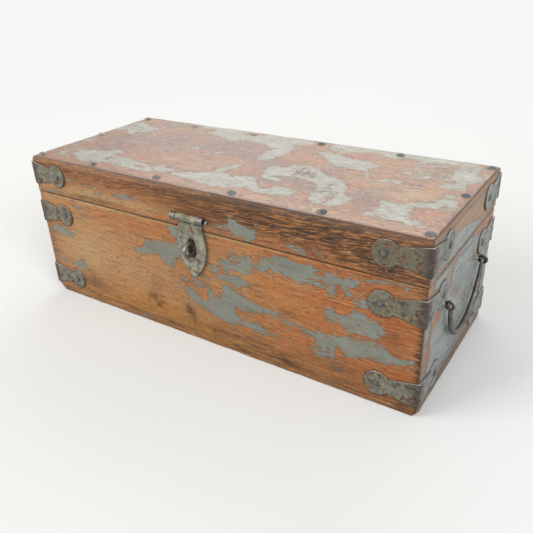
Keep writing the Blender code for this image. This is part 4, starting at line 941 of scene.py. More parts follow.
def strap_part(seed, hammering):
    """A keyhole strap bent round a corner at the origin: one leaf along -X outside -Y, one along +Y outside +X."""
    reach = [DISC_FROM_CORNER + DISC_RADIUS * sin(a) for a in np.linspace(radians(-51), radians(88), 17)]
    leg = [0.2, 2.5, 5, 8, 11, 14, 17, 20, 22.5, STRAP_NECK - 0.5, *reach]
    waves = np.random.RandomState(seed).uniform(0, 2 * pi, 6)
    front, bend, end = range(3)
    columns = [(0.0, u, front) for u in reversed(leg)]
    columns += [(angle, 0.0, bend) for angle in np.linspace(0, pi / 2, 7)[1:-1]]
    columns += [(pi / 2, u, end) for u in leg]
    rows = [sin(a) for a in np.linspace(-pi / 2, pi / 2, 21)]
    spots = []
    for outer in (False, True):
        for angle, u, where in columns:
            half = strap_half_height(u)
            half_up = half - abs(0.16 * sin(u * 0.9 + waves[0] + where) + 0.1 * sin(u * 2.1 + waves[1]))
            half_down = half - abs(0.14 * sin(u * 0.7 + waves[2] + where))
            for t in rows:
                v = t * (half_up if t > 0 else half_down)
                to_rim = min(half - abs(v), DISC_FROM_CORNER + DISC_RADIUS - u)
                dent = hammering * (1 + sin(u * 0.55 + waves[3]) * sin(v * 0.6 + waves[4]))
                out = STRAP_OUT - rounding(to_rim, STRAP_RIM) - dent if outer else STRAP_BACK
                if where == front:
                    spots.append((-u, -out, v))
                elif where == end:
                    spots.append((out, u, v))
                else:
                    radius = out + 0.2
                    spots.append((-0.2 + radius * sin(angle), 0.2 - radius * cos(angle), v))
    tall, size = len(rows), len(columns) * len(rows)
    faces = [(b, c, d, a) for a, b, c, d in grid(len(columns), tall, around=False)]
    faces += [(a, d, c, b) for a, b, c, d in grid(len(columns), tall, around=False, start=size)]
    for line, flip in (
        (range(0, size, tall), False), (range(tall - 1, size, tall), True),
        (range(tall), True), (range(size - tall, size), False),
    ):
        faces += rim_quads(line, size, flip)
    head = dome(*STRAP_NAIL, seed=seed)
    on_front = Matrix.Translation((-STRAP_NAIL_FROM_CORNER, -STRAP_OUT, 0)) @ Matrix.Rotation(pi / 2, 4, "X")
    on_end = Matrix.Translation((STRAP_OUT, STRAP_NAIL_FROM_CORNER, 0)) @ Matrix.Rotation(pi / 2, 4, "Y")
    return joined((spots, faces), moved(head, on_front), moved(head, on_end)), len(spots)


def strap_masks(points, height, half_length, leaf_count, grubby):
    """Where a strap is on the end, at its corner, dark on and just round its nails, and where a painted highlight
    lights their heads' tops.
    """
    along = half_length - np.abs(points[:, 0])
    inward = FACE_Y - np.abs(points[:, 1])
    leaf = np.maximum(along, inward)
    from_nail = np.hypot(leaf - STRAP_NAIL_FROM_CORNER, points[:, 2] - height)
    on_head = np.arange(len(points)) >= leaf_count
    return {
        # A painted highlight on the top of each nail head.
        "knob": on_head * np.exp(-((from_nail / 2.0) ** 4)),
        "head": np.exp(-((np.maximum(from_nail - STRAP_NAIL[0], 0) / 0.65) ** 2)),
        "grubby": np.full(len(points), grubby),
        "on_end": np.clip((inward - 0.5) / 2, 0, 1),
        "corner": np.exp(-((np.maximum(leaf, 0) / 8) ** 2)),
    }


def scroll(radius, thickness, tail, low, high):
    """A rolled barrel along X whose strip comes up from below on the +Y side; open at its slit."""
    inner = radius - thickness
    turn = np.linspace(0, radians(338), 30)
    outline = [(radius, -tail), *[(radius * cos(a), radius * sin(a)) for a in turn]]
    outline += [(inner * cos(a), inner * sin(a)) for a in turn[::-1]] + [(inner, -tail)]
    columns = [low, low + 0.25, *np.linspace(low + 0.7, high - 0.7, 12), high - 0.25, high]
    spots = []
    for x in columns:
        pull = 0.12 if x in (low, high) else 0.0
        for y, z in outline:
            far = sqrt(y * y + z * z)
            share = 1 + (-pull if far > (radius + inner) / 2 else pull) / far
            spots.append((x, y * share, z * share))
    count = len(outline)
    faces = [quad[::-1] for quad in grid(len(columns), count)]
    last = (len(columns) - 1) * count
    for k in range(count // 2 - 1):
        quad = (k, k + 1, count - 2 - k, count - 1 - k)
        faces += [quad, tuple(last + corner for corner in reversed(quad))]
    return outward(spots, faces)


def bevelled_plate(outline, thickness, rim):
    """A flat plate in XZ from y 0 to -thickness with rounded rims."""
    bm = bmesh.new()
    back = [bm.verts.new((x, 0, z)) for x, z in outline]
    front = [bm.verts.new((x, -thickness, z)) for x, z in outline]
    bm.faces.new(back)
    bm.faces.new(front[::-1])
    for k in range(len(outline)):
        n = (k + 1) % len(outline)
        bm.faces.new((back[k], front[k], front[n], back[n]))
    bmesh.ops.recalc_face_normals(bm, faces=bm.faces)
    rims = [e for e in bm.edges if e.calc_face_angle(0) > 0.6]
    bmesh.ops.bevel(bm, geom=rims, offset=rim, segments=2, profile=0.5, affect="EDGES")
    return taken_from(bm)


def smooth_through(places, values, at):
    """A smooth curve through values at rising places."""
    k = int(np.clip(np.searchsorted(places, at) - 1, 0, len(places) - 2))
    step = places[k + 1] - places[k]
    share = (at - places[k]) / step
    before, after = max(k - 1, 0), min(k + 2, len(places) - 1)
    slope_in = (values[k + 1] - values[before]) / (places[k + 1] - places[before]) * step
    slope_out = (values[after] - values[k]) / (places[after] - places[k]) * step
    a = 2 * values[k] - 2 * values[k + 1] + slope_in + slope_out
    b = -3 * values[k] + 3 * values[k + 1] - 2 * slope_in - slope_out
    return a * share**3 + b * share**2 + slope_in * share + values[k]


def hasp_outline():
    """The plate's smooth edge, from the upper right round the point to the upper left."""
    shares = np.array(HASP_SHARES)
    steps = np.hypot(*np.diff(shares * (HASP_LENGTH, HASP_HALF), axis=0).T)
    place = np.concatenate(([0], np.cumsum(steps)))
    fine = np.linspace(0, place[-1], 60)
    down, wide = ([smooth_through(place, shares[:, c], f) for f in fine] for c in (0, 1))
    right = [(HASP_HALF * max(min(w, 1), 0), -HASP_LENGTH * min(d, 1)) for d, w in zip(down, wide)]
    return right + [(-x, z) for x, z in reversed(right[:-1])]


def ray_length(start, way, outline):
    """How far a ray goes from a point inside an outline to its edge."""
    best = 0.0
    for a, b in zip(outline, np.roll(outline, -1, 0)):
        side, gap = b - a, a - start
        cross = way[0] * side[1] - way[1] * side[0]
        if abs(cross) < 1e-12:
            continue
        reach = (gap[0] * side[1] - gap[1] * side[0]) / cross
        share = (gap[0] * way[1] - gap[1] * way[0]) / cross
        if reach > 0 and -1e-9 <= share <= 1 + 1e-9:
            best = max(best, reach)
    return best


def hasp_plate_part(hammering):
    """The leaf-shaped plate round its slot, in XZ about the hasp's axis."""
    edge = np.array(hasp_outline())
    centre = np.array((0, -HASP_SLOT_DOWN))
    wide, tall = HASP_SLOT
    outer, inner = [], []
    for angle in angles(112):
        way = np.array((cos(angle), sin(angle)))
        outer.append(centre + way * ray_length(centre, way, edge))
        to_slot = abs(way[0] / wide) ** SLOT_POWER + abs(way[1] / tall) ** SLOT_POWER
        inner.append(centre + way * to_slot ** (-1 / SLOT_POWER))
    rows = (0, 0.03, 0.09, 0.2, 0.35, 0.5, 0.65, 0.8, 0.91, 0.97, 1)
    spots = []
    for front in (False, True):
        for t in rows:
            for near, far in zip(inner, outer):
                x, z = near + (far - near) * t
                to_rim = min(t, 1 - t) * np.linalg.norm(far - near)
                curve = min(rounding(to_rim, HASP_RIM), 0.55) if z < -6 else 0.0
                belly = hammering * (1 + sin(x * 0.5) * sin(z * 0.37 + 1))
                spots.append((x, HASP_BARREL - HASP_PLATE + curve + belly if front else HASP_BARREL, z))
    count, size = len(inner), len(rows) * len(inner)
    faces = [quad[::-1] for quad in grid(len(rows), count)] + grid(len(rows), count, start=size)
    for first in (0, size - count):
        faces += rim_quads([*range(first, first + count), first], size, first == 0)
    return outward(spots, faces)


def headed_pin(radius, head_radius, head, low, high, sides):
    """A pin along X with a rounded head at each end; low and high are its tips."""
    tip = [(0, 0), (head_radius * 0.6, 0.02), (head_radius, head * 0.45), (head_radius, head), (radius, head + 0.02)]
    profile = [*[(r, low + x) for r, x in tip], (radius, 0), *[(r, high - x) for r, x in reversed(tip)]]
    return moved(turned(profile, sides), Matrix.Rotation(pi / 2, 4, "Y"))


def hinge_leaf(sign, spans):
    """A hinge's leaf about its pin, up or down by sign, with its barrel over each span and its two nails."""
    start, corner = HINGE_BARREL + 0.4, 5.0
    half, leaf, back = HINGE_HALF, HINGE_LEAF, HINGE_PLATE - HINGE_BARREL
    outline = [(-half, start), (half, start), (half, leaf - corner), (half - corner, leaf), (corner - half, leaf),
               (-half, leaf - corner)]
    plate = bevelled_plate([(x, sign * z) for x, z in outline], HINGE_PLATE, 0.3)
    parts = [outward(*moved(plate, Matrix.Translation((0, back, 0))))]
    for low, high in spans:
        rolled = scroll(HINGE_BARREL, HINGE_PLATE, start + 0.8, low, high)
        parts.append(moved(rolled, Matrix.Diagonal((1, -1, -sign, 1))))
    for share in (0.42, 0.80):
        head = moved(dome(2.4, 0.9, sides=16, seed=int(share * 100)), Matrix.Rotation(-pi / 2, 4, "X"))
        parts.append(moved(head, Matrix.Translation((0, back, sign * share * leaf))))
    return joined(*parts)


def eye_band(radius, width, hole):
    """A flat-sided ring round X."""
    half = [(hole, 0.2), (hole + 0.2, 0), (radius - 0.5, 0), (radius - 0.15, 0.15), (radius, 0.5)]
    section = [*[(r, x - width / 2) for r, x in half], (radius, 0), *[(r, width / 2 - x) for r, x in reversed(half)]]
    turn = angles(28)
    spots = [(x, r * cos(a), r * sin(a)) for a in turn for r, x in section]
    return outward(spots, [(a, d, c, b) for a, b, c, d in grid(len(turn), len(section), closed=True)])


# Finishes


class Value:
    """A socket in a node tree. Arithmetic on it adds the Math nodes that work it out."""

    def __init__(self, sheet, socket):
        self.sheet, self.socket = sheet, socket

    def maths(self, operation, *terms):
        """The result of a Math node."""
        return self.sheet.add("ShaderNodeMath", {"operation": operation}, dict(enumerate(terms)))

    def __add__(self, other):
        return self.maths("ADD", self, other)

    __radd__ = __add__

    def __sub__(self, other):
        return self.maths("SUBTRACT", self, other)

    def __rsub__(self, other):
        return self.maths("SUBTRACT", other, self)

    def __mul__(self, other):
        return self.maths("MULTIPLY", self, other)

    __rmul__ = __mul__

    def most(self, other):
        """The greater of two values."""
        return self.maths("MAXIMUM", self, other)

    def kept(self):
        """The value held between 0 and 1."""
        return self.sheet.add("ShaderNodeClamp", {}, {"Value": self, "Min": 0.0, "Max": 1.0})

    def step(self, low, high):
        """A smooth step from 0 at low to 1 at high."""
        return self.sheet.add(
            "ShaderNodeMapRange", {"interpolation_type": "SMOOTHSTEP"},
            {"Value": self, "From Min": low, "From Max": high, "To Min": 0.0, "To Max": 1.0})

    def unstep(self, low, high):
        """A smooth step from 1 at low to 0 at high."""
        return 1 - self.step(low, high)


class Finish:
    """The nodes of a material or of the world, under construction."""

    def __init__(self, owner):
        owner.use_nodes = True
        self.tree = owner.node_tree
        self.tree.nodes.clear()
        # Where its patterns are looked up, once it is known.
        self.place = None

    def add(self, kind, settings, sockets, output=0):
        """Adds a node: its settings first, then the values or links of its sockets."""
        node = self.tree.nodes.new(kind)
        for setting, value in settings.items():
            setattr(node, setting, value)
        for name, value in sockets.items():
            if isinstance(value, Value):
                self.tree.links.new(value.socket, node.inputs[name])
            else:
                node.inputs[name].default_value = value
        return Value(self, node.outputs[output]) if node.outputs else None

    def masks(self, *names):
        """The values of the mesh's masks."""
        return [self.add("ShaderNodeAttribute", {"attribute_name": name}, {}, "Fac") for name in names]

    def noise(self, per_mm, detail=3.0, roughness=0.55, bend=0.0, shift=(0.0, 0.0, 0.0), place=None):
        """Noise whose scale is given along each axis, per millimetre."""
        scaled = self.add(
            "ShaderNodeVectorMath", {"operation": "MULTIPLY_ADD"},
            {0: place or self.place, 1: [s / MM for s in per_mm], 2: shift})
        return self.add(
            "ShaderNodeTexNoise", {},
            {"Vector": scaled, "Scale": 1.0, "Detail": detail, "Roughness": roughness, "Distortion": bend})

    def even_noise(self, size, *terms):
        """Noise of one size in millimetres along every axis."""
        return self.noise((1 / size,) * 3, *terms)

    def layers(self, colour, *coats):
        """A colour with coats over it, each given by its share and its own colour."""
        for share, coat in coats:
            pair = {n: c if isinstance(c, Value) else (*c, 1.0) for n, c in ((6, colour), (7, coat))}
            colour = self.add("ShaderNodeMix", {"data_type": "RGBA"}, {0: share, **pair}, 2)
        return colour

    def tinted(self, colour, tint):
        """A colour times another."""
        return self.add("ShaderNodeVectorMath", {"operation": "MULTIPLY"}, {0: colour, 1: tint})

    def surface(self, colour, roughness, relief, depth, **plain):
        """Joins everything to one shader."""
        bump = self.add("ShaderNodeBump", {}, {"Strength": 1.0, "Distance": depth, "Height": relief})
        sockets = {"Base Color": colour, "Roughness": roughness, "Normal": bump, **plain}
        shader = self.add("ShaderNodeBsdfPrincipled", {}, sockets)
        self.add("ShaderNodeOutputMaterial", {}, {"Surface": shader})


def times(colour, by):
    """A lighter or darker shade of a colour."""
    return tuple(c * by for c in colour)


def grain(along, length, width):
    """Scales per millimetre of a pattern that is length long and width wide, along the grain."""
    return tuple(1 / length if axis == along else 1 / width for axis in (0, 1, 2))


def bare_wood(sheet, wood, noises, tones, inner, arris, up, side):
    """The colour of the wood, without its paint."""
    fibre, strand, line, band, patch, blot, cloud, pore = noises
    pale, red, brown = tones
    streak = (strand - 0.5) * 1.5 + (line - 0.5) * 2.3 + (blot - 0.5) * 0.5 + 0.5
    upright = 1 - up
    mottled = (0.45 - streak) * 1.9 + (patch - 0.54) * 2.0 + (blot - 0.56) * 2.2 + (cloud - 0.55) * 1.7
    dull = (cloud - 0.5) * 1.8 + (patch - 0.5) * 2.2 + (blot - 0.5) * 1.2 + (streak - 0.5) * 0.5 + brown * 1.25
    lined = sheet.layers(
        wood.dark_marks_and_shade,
        (streak.step(0.15, 0.46), wood.brown),
        (streak.step(0.42, 0.76), times(wood.orange, 0.8)),
        (streak.step(0.74, 1.0), times(wood.honey, 0.85)))
    raw = sheet.layers(
        wood.raw,
        (band.step(0.35, 0.7) * 0.6 + strand.step(0.5, 0.7) * 0.3, times(wood.raw, 0.55)),
        (fibre.step(0.5, 0.7) * 0.4, times(wood.raw, 0.35)))
    return sheet.layers(
        wood.orange,
        ((pale + (cloud - 0.5) * 0.9).kept(), wood.honey),
        ((red + (band - 0.5) * 0.6 + (patch - 0.55) * 0.8).kept(), wood.red),
        ((pale * red * 3.0).kept() * upright, wood.golden),
        (red.step(0.90, 0.98) * upright, (0.60, 0.05, 0.015)),
        (mottled.kept() * (0.9 - pale * 0.4), wood.brown),
        (((streak - 0.60) * 1.1).kept(), times(wood.honey, 1.15)),
        # Where pale is near full, as along the body's top rim, a lighter honey: a painted highlight.
        (pale.step(0.9, 0.99) * 0.8, times(wood.honey, 1.3)),
        (dull.kept() * up * 0.85, wood.mauve),
        (line.step(0.54, 0.62) * up * 0.5, wood.brown),
        ((brown * (0.55 + band * 0.8 + blot * 0.4)).kept() * (1 - up * 0.45), lined),
        (fibre.step(0.53, 0.66) * (0.45 + side * 0.25), wood.brown),
        (pore.step(0.60, 0.70) * 0.5, wood.dark_marks_and_shade),
        (side * 0.42, wood.grey),
        ((arris * (1.15 - pale * 1.3) * (0.25 + cloud * 0.9)).kept(), times(wood.brown, 0.8)),
        (inner.step(0.3, 0.7), raw))


def wood_finish(sheet, wood, along, specular):
    """Worn wood with old paint; along is the axis of its grain."""
    pale, red, brown, dark = sheet.masks(*TONES)
    paint, inner, arris, up, side, bend = sheet.masks("paint", "inner", "arris", "up", "side", "bend")
    across = [0 if axis == along else MM for axis in range(3)]
    sheet.place = sheet.add("ShaderNodeVectorMath", {"operation": "MULTIPLY_ADD"}, {0: bend, 1: across, 2: sheet.place})
    fibre = sheet.noise(grain(along, 22, 0.9), 4, 0.6, 0.2, (3, 7, 1))
    strand = sheet.noise(grain(along, 42, 2.6), 5, 0.62, 0.5, (5, 2, 9))
    line = sheet.noise(grain(along, 30, 1.15), 4, 0.62, 0.35, (4, 6, 2))
    band = sheet.noise(grain(along, 160, 11), 3, 0.5, 0.8, (8, 1, 3))
    patch = sheet.noise(grain(along, 30, 5), 4, 0.65, 0.5, (2, 6, 4))
    blot = sheet.noise(grain(along, 8, 4), 4, 0.7, 0.4, (7, 3, 8))
    cloud = sheet.noise((1 / 26, 1 / 22, 1 / 20), 4, 0.6, 0.6, (1, 9, 5))
    fleck = sheet.noise(grain(along, 5, 1.5), 3, 0.6)
    grit = sheet.noise(grain(along, 2.2, 1.2), 3, 0.65)
    pore = sheet.noise(grain(along, 7, 0.55), 2, 0.5)
    ragged = sheet.noise(grain(along, 9, 2.6), 5, 0.62, 0.4, (1, 4, 7))
    comb = sheet.noise(grain(along, 9, 0.9), 3, 0.6, 0.2, (6, 3, 5))
    rubbed = sheet.noise(grain(along, 9, 1.6), 4, 0.65, 0.2, (9, 2, 6))
    flake = sheet.noise(grain(along, 4.5, 1.9), 3, 0.6, 0.2, (2, 8, 1))
    oblique = sheet.add("ShaderNodeMapping", {}, {"Vector": sheet.place, "Rotation": (0.4, 0.5, 0.9)})
    scratch = sheet.noise((1 / 34, 1 / 0.6, 1 / 0.6), 2, 0.5, 0.1, place=oblique).step(0.66, 0.71)
    noises = (fibre, strand, line, band, patch, blot, cloud, pore)
    wood_colour = bare_wood(sheet, wood, noises, (pale, red, brown), inner, arris, up, side)

    # Where the paint is: its torn edge, small flakes beside it, a film on the lid's top, and its holes.
    edge = paint + (ragged - 0.5) * (0.66 + up * 0.35) + (comb - 0.5) * 0.62 + (grit - 0.5) * 0.2 - arris * 0.2
    flakes = flake.step(0.60, 0.63) * paint.step(0.03, 0.34)
    film = up * ragged.step(0.54, 0.62) * cloud.step(0.44, 0.62) * 0.5
    holes = rubbed.step(0.61, 0.64) * (1 - paint.step(0.70, 1.0) * 0.75)
    thin = (0.06 + (line - 0.5) * 0.9).kept() * up
    cover = edge.step(0.486 - up * 0.09, 0.514 + up * 0.08).most(flakes).most(film) * (1 - holes) * (1 - thin)

    # Its colour.
    paint_colour = sheet.layers(
        wood.paint, ((cloud.step(0.3, 0.7) * 0.8 + (fleck - 0.5) * 0.8).kept(), wood.paint_pale))
    # The lid's top gets a lighter copy of the paint, partly painted light for the top's stronger light; the ends get
    # their bluer paint.
    for mask, shade in ((up, wood.top_paint), (side, wood.end_paint)):
        tint = [new / old for new, old in zip(shade, wood.paint)]
        paint_colour = sheet.layers(paint_colour, (mask, sheet.tinted(paint_colour, tint)))
    lines = strand.step(0.52, 0.68) * 0.35 + side * line.step(0.53, 0.63) * 0.75 + side * (brown - 0.2)
    stained = (blot.step(0.50, 0.62) * 0.35 + strand.unstep(0.40, 0.50) * 0.25) * up
    paint_colour = sheet.layers(
        paint_colour,
        (lines.kept(), times(wood.paint, 0.55)),
        (stained, times(wood.mauve, 1.3)),
        (rubbed.step(0.54, 0.65) * 0.35, wood_colour),
        (arris * 0.9, times(wood.brown, 0.9)))

    # Dirt, marks and painted shade over both.
    rim = edge.step(0.42, 0.48) * edge.unstep(0.48, 0.56) * (1 - inner)
    specks = (grit.step(0.58, 0.70) * 0.5 + fleck.step(0.62, 0.68) * 0.7) * (1 - cover * 0.5)
    # The dark mask holds real stains and knots and also painted shade round the straps, in the lid's seam and behind
    # the hasp's slot.
    stain_and_shade = dark * (0.85 + (ragged - 0.5) * 1.6) + dark.step(0.9, 1.0)
    colour = sheet.layers(
        wood_colour,
        (cover, paint_colour),
        (rim * 0.3, wood.brown),
        (specks.kept(), wood.brown),
        (fleck.unstep(0.32, 0.42) * (0.24 - cover * 0.2), times(wood.honey, 1.5)),
        (scratch * 0.55, times(wood.brown, 1.5)),
        (stain_and_shade.kept(), wood.dark_marks_and_shade))
    roughness = 0.5 + cover * 0.06 + (strand - 0.5) * 0.3 + (grit - 0.5) * 0.3 + inner * 0.2 + arris * 0.2 - up * 0.17
    roughness += up * ((line - 0.5) * 0.5 + (blot - 0.5) * 0.5 + (fibre - 0.5) * 0.3)
    relief = cover * 0.42 + fibre * 0.28 + pore.unstep(0.56, 0.70) * 0.18 + strand * 0.3 + grit * 0.12 - scratch * 0.15
    sheet.surface(colour, roughness.kept(), relief, wood.relief, **{"Specular IOR Level": specular})


def painted_iron_finish(sheet, iron, lift, end_paint=(0.3, 0.32, 0.31), rim=1.2, marks=1.0):
    """Thin paint over forged iron, rusted in patches, rubbed bright and painted lighter on upper rims, with painted
    shade on lower ones.
    """
    worn, on_end, head, corner, grubby, shaded, knob = sheet.masks(
        "worn", "on_end", "head", "corner", "grubby", "shaded", "knob")
    cloud = sheet.even_noise(9, 4, 0.6, 0.4)
    blotch = sheet.even_noise(5, 5, 0.68, 0.3, (5, 2, 8))
    fine = sheet.even_noise(1.1, 3, 0.6)
    grit = sheet.noise((1 / 3.2, 1 / 3.2, 1 / 2.4), 5, 0.62, 0.6, (1, 5, 2))
    scratch = sheet.noise((1 / 0.5, 1 / 14, 1 / 2.5), 3, 0.6, 0.3, (3, 3, 3))
    paint = times(iron.strap_paint, lift)
    cool = sheet.layers(times(end_paint, 0.8), (cloud.step(0.3, 0.7), times(end_paint, 1.12)))
    rusty = (blotch + (fine - 0.5) * 0.3 + corner * 0.1 + grubby * 0.04).step(0.52, 0.64)
    pitted = (blotch * 0.5 + grit * 0.6 + corner * 0.05).step(0.58, 0.68)
    # Rubbed rims, brighter on the upper ones as a painted highlight.
    rubbed = (worn * rim + (blotch - 0.5) * 1.8 + (scratch - 0.5) * 1.0).step(0.58, 0.95)
    colour = sheet.layers(
        times(paint, 0.45),
        (cloud.step(0.38, 0.60), times(paint, 1.4)),
        (blotch.unstep(0.38, 0.48) * 0.8, [c * g for c, g in zip(paint, (1.15, 1.35, 1.6))]),
        ((scratch.step(0.50, 0.64) * 0.7 * marks).kept(), times(paint, 0.3)),
        (grit.step(0.55, 0.62) * 0.7 * marks, times(paint, 0.32)),
        (((0.74 - fine * 0.45 - grit) * 2.8 * marks).kept(), times(paint, 2.0)),
        (on_end, cool),
        ((grubby * (0.35 + cloud * 0.8) * (1 - on_end * 0.5)).kept(),
         [c * g for c, g in zip(paint, (0.5, 0.46, 0.38))]),
        (rusty * (0.8 - on_end * 0.4), iron.rust),
        (pitted * (0.9 - on_end * 0.35) * marks, (0.032, 0.027, 0.024)),
        ((corner * corner * (0.4 + grit * 0.8)).kept(), (0.045, 0.036, 0.028)),
        # Painted shade on lower rims, strongest on the ends.
        ((shaded * (1.4 + on_end * 1.2) * (0.4 + grit)).kept(), (0.03, 0.025, 0.021)),
        # Dark nail heads with a dark ring round them; on the hasp, painted shade round its slot.
        ((head * (0.75 + (grit - 0.5))).kept(), (0.035, 0.032, 0.03)),
        # A painted highlight on each nail's top, which is also glossier.
        (knob * 0.85, (0.19, 0.185, 0.17)),
        (rubbed * 0.85, iron.bright))
    roughness = 0.58 - rubbed * 0.2 + (fine - 0.5) * 0.2 + rusty * 0.1 - knob * 0.3
    relief = blotch * 0.5 + fine * 0.35 - pitted * 0.5 + scratch * 0.1 + grit * 0.3
    sheet.surface(colour, roughness, relief, 0.55 * MM, Metallic=rubbed * 0.7 + knob * 0.6)


def forged_iron_finish(sheet, iron, tint=1.0, rust=0.35, bright=0.6, gloss=0.42, hue=(1, 1, 1)):
    """Dark forged iron with brown rust in its hollows and lighter metal where it is rubbed, lightest on upper edges as
    a painted highlight.
    """
    worn, = sheet.masks("worn")
    cloud = sheet.even_noise(8, 4, 0.6, 0.3, (1, 7, 3))
    blotch = sheet.even_noise(3.2, 4, 0.65, 0.3)
    fine = sheet.even_noise(0.7, 3, 0.6)
    base = [c * h * tint for c, h in zip(iron.iron, hue)]
    rusty = (blotch + (fine - 0.5) * 0.3).step(0.52, 0.66)
    # Rubbed edges, brighter on the upper ones as a painted highlight.
    rubbed = (worn * 1.2 + (cloud - 0.5) * 1.0 + (fine - 0.5) * 0.5).step(0.35, 1.0)
    colour = sheet.layers(
        base, (cloud.step(0.3, 0.7), times(base, 1.9)), (rusty * rust, iron.rust), (rubbed * bright, iron.bright))
    roughness = gloss + (fine - 0.5) * 0.25 + rusty * 0.15 - rubbed * 0.1
    sheet.surface(colour, roughness, blotch * 0.5 + fine * 0.35, 0.25 * MM, Metallic=0.85 - rusty * 0.5)


def floor_finish(sheet, stage):
    """A pale floor that keeps the shadow near the chest and fades to plain white further off."""
    cloud = sheet.even_noise(300, 3, 0.5)
    colour = sheet.layers(stage.floor, (cloud, times(stage.floor, 0.97)))
    floor = sheet.add("ShaderNodeBsdfDiffuse", {}, {"Color": colour, "Roughness": 0.6}, "BSDF")
    white = sheet.add("ShaderNodeEmission", {}, {"Color": (*stage.floor_far, 1.0), "Strength": 1.0}, "Emission")
    away = sheet.add("ShaderNodeVectorMath", {"operation": "LENGTH"}, {0: sheet.place}, "Value")
    camera, glossy = (sheet.add("ShaderNodeLightPath", {}, {}, f"Is {ray} Ray") for ray in ("Camera", "Glossy"))
    share = away.step(0.42, 1.3) * camera.most(glossy)
    shader = sheet.add("ShaderNodeMixShader", {}, {0: share, 1: floor, 2: white}, "Shader")
    sheet.add("ShaderNodeOutputMaterial", {}, {"Surface": shader})


# Finishes by name. Long boards have their grain along X, end boards along Y; the lid's top is the most waxed.
WOODS = {"long_board_wood": (0, 0.18), "lid_top_wood": (0, 0.5), "end_board_wood": (1, 0.3)}
IRONS = {
    # The blue tint of the lid nails is a painted reflection of the sky.
    "nail_iron": {"tint": 2.0, "rust": 0.15, "bright": 0.2, "gloss": 0.5, "hue": (0.93, 1.0, 1.14)},
    "faded_nail_iron": {"tint": 3.6, "rust": 0.1, "bright": 0.1, "gloss": 0.55, "hue": (1.05, 1.0, 1.0)},
    "hinge_iron": {"tint": 1.3, "rust": 0.6, "bright": 0.5, "gloss": 0.5},
    "staple_iron": {"tint": 2.4, "rust": 0.8, "bright": 0.5, "gloss": 0.4},
    "worn_steel": {"tint": 1.9, "rust": 0.5, "bright": 0.45, "gloss": 0.42},
    "bail_iron": {"tint": 1.7, "rust": 0.75, "bright": 0.5, "gloss": 0.4},
    "dark_iron": {},
}
FINISHES = {}


def material(name):
    """The material of that name, made once."""
    if name in FINISHES:
        return FINISHES[name]
    FINISHES[name] = bpy.data.materials.new(name)
    sheet = Finish(FINISHES[name])
    sheet.place = sheet.add("ShaderNodeTexCoord", {}, {}, "Object")
    scene = bpy.context.scene
    if name in WOODS:
        wood_finish(sheet, scene.chest_wood, *WOODS[name])
    elif name in IRONS:
        forged_iron_finish(sheet, scene.chest_iron, **IRONS[name])
    elif name == "pale_floor":
        floor_finish(sheet, scene.chest_stage)
    elif name == "hasp_iron":
        painted_iron_finish(sheet, scene.chest_iron, lift=1.5, rim=0.8, marks=0.45)
    else:
        painted_iron_finish(sheet, scene.chest_iron, lift=1.15, end_paint=scene.chest_wood.end_paint)
    return FINISHES[name]


# Stage


def make_floor():
    """A floor that curves up into a backdrop."""
    # The flat part ends in points of its own, which keeps its shading flat.
    line = [(-3.0, 0.0), (3.2, 0.0), *arc((3.2, 0.9), 0.9, -pi / 2, 0, 16), (4.1, 3.4)]
    across = (-4.5, 0.0, 4.5)
    points = [(x, y, z) for x in across for y, z in line]
    faces = [(a, d, c, b) for a, b, c, d in grid(len(across), len(line), around=False)]
    mesh = bpy.data.meshes.new("floor")
    mesh.from_pydata(points, [], faces)
    mesh.shade_smooth()
    floor = bpy.data.objects.new("floor", mesh)
    floor.rotation_euler.z = radians(34)
    floor.location.z = -FLOOR_GAP * MM
    bpy.context.scene.collection.objects.link(floor)
    mesh.materials.append(material("pale_floor"))


def make_lamp(name, place, wide, tall, power, colour):
    """A soft rectangular lamp that looks at the chest and isn't seen by the camera."""
    lamp = bpy.data.lights.new(name, "AREA")
    lamp.color = colour
    lamp.shape = "RECTANGLE"
    lamp.size, lamp.size_y, lamp.energy = wide, tall, power
    obj = bpy.data.objects.new(name, lamp)
    obj.location = place
    obj.rotation_euler = (Vector((0, 0, 0.08)) - Vector(place)).to_track_quat("-Z", "Y").to_euler()
    obj.visible_camera = False
    bpy.context.scene.collection.objects.link(obj)


def make_world(settings):
    """White to the camera and in reflections, softer as light."""
    world = bpy.data.worlds.new("studio")
    sheet = Finish(world)
    camera, glossy, clear = (
        sheet.add("ShaderNodeLightPath", {}, {}, f"Is {ray} Ray") for ray in ("Camera", "Glossy", "Transmission"))
    seen = camera.most(glossy).most(clear)
    strength = sheet.add("ShaderNodeMapRange", {}, {"Value": seen, "To Min": settings.fill, "To Max": 1.0})
    sky = sheet.add("ShaderNodeBackground", {}, {"Color": (*settings.floor_far, 1), "Strength": strength})
    sheet.add("ShaderNodeOutputWorld", {}, {"Surface": sky})
    bpy.context.scene.world = world


def make_camera(settings):
    """The photograph's viewing angle."""
    turn, rise, roll = (radians(angle) for angle in CAMERA_TURNS)
    back = Vector((sin(turn) * cos(rise), -cos(turn) * cos(rise), sin(rise)))
    right = Vector((0, 0, 1)).cross(back).normalized()
    up = back.cross(right)
    rows = [cos(roll) * right + sin(roll) * up, -sin(roll) * right + cos(roll) * up, back]
    data = bpy.data.cameras.new("camera")
    data.sensor_width = 36
    data.lens = settings.lens
    data.clip_start = 0.01
    camera = bpy.data.objects.new("camera", data)
    camera.matrix_world = Matrix.Translation(settings.place) @ Matrix(rows).transposed().to_4x4()
    bpy.context.scene.collection.objects.link(camera)
    bpy.context.scene.camera = camera


# Operators, one for each piece or group of like pieces


class CHEST_OT_front_and_back(bpy.types.Operator):
    """Make the two long boards of the body"""

    bl_idname = "chest.front_and_back"
    bl_label = "Front and back boards"

    def execute(self, context):
        make_boards(context, "front_board", "back_board")
        return {"FINISHED"}


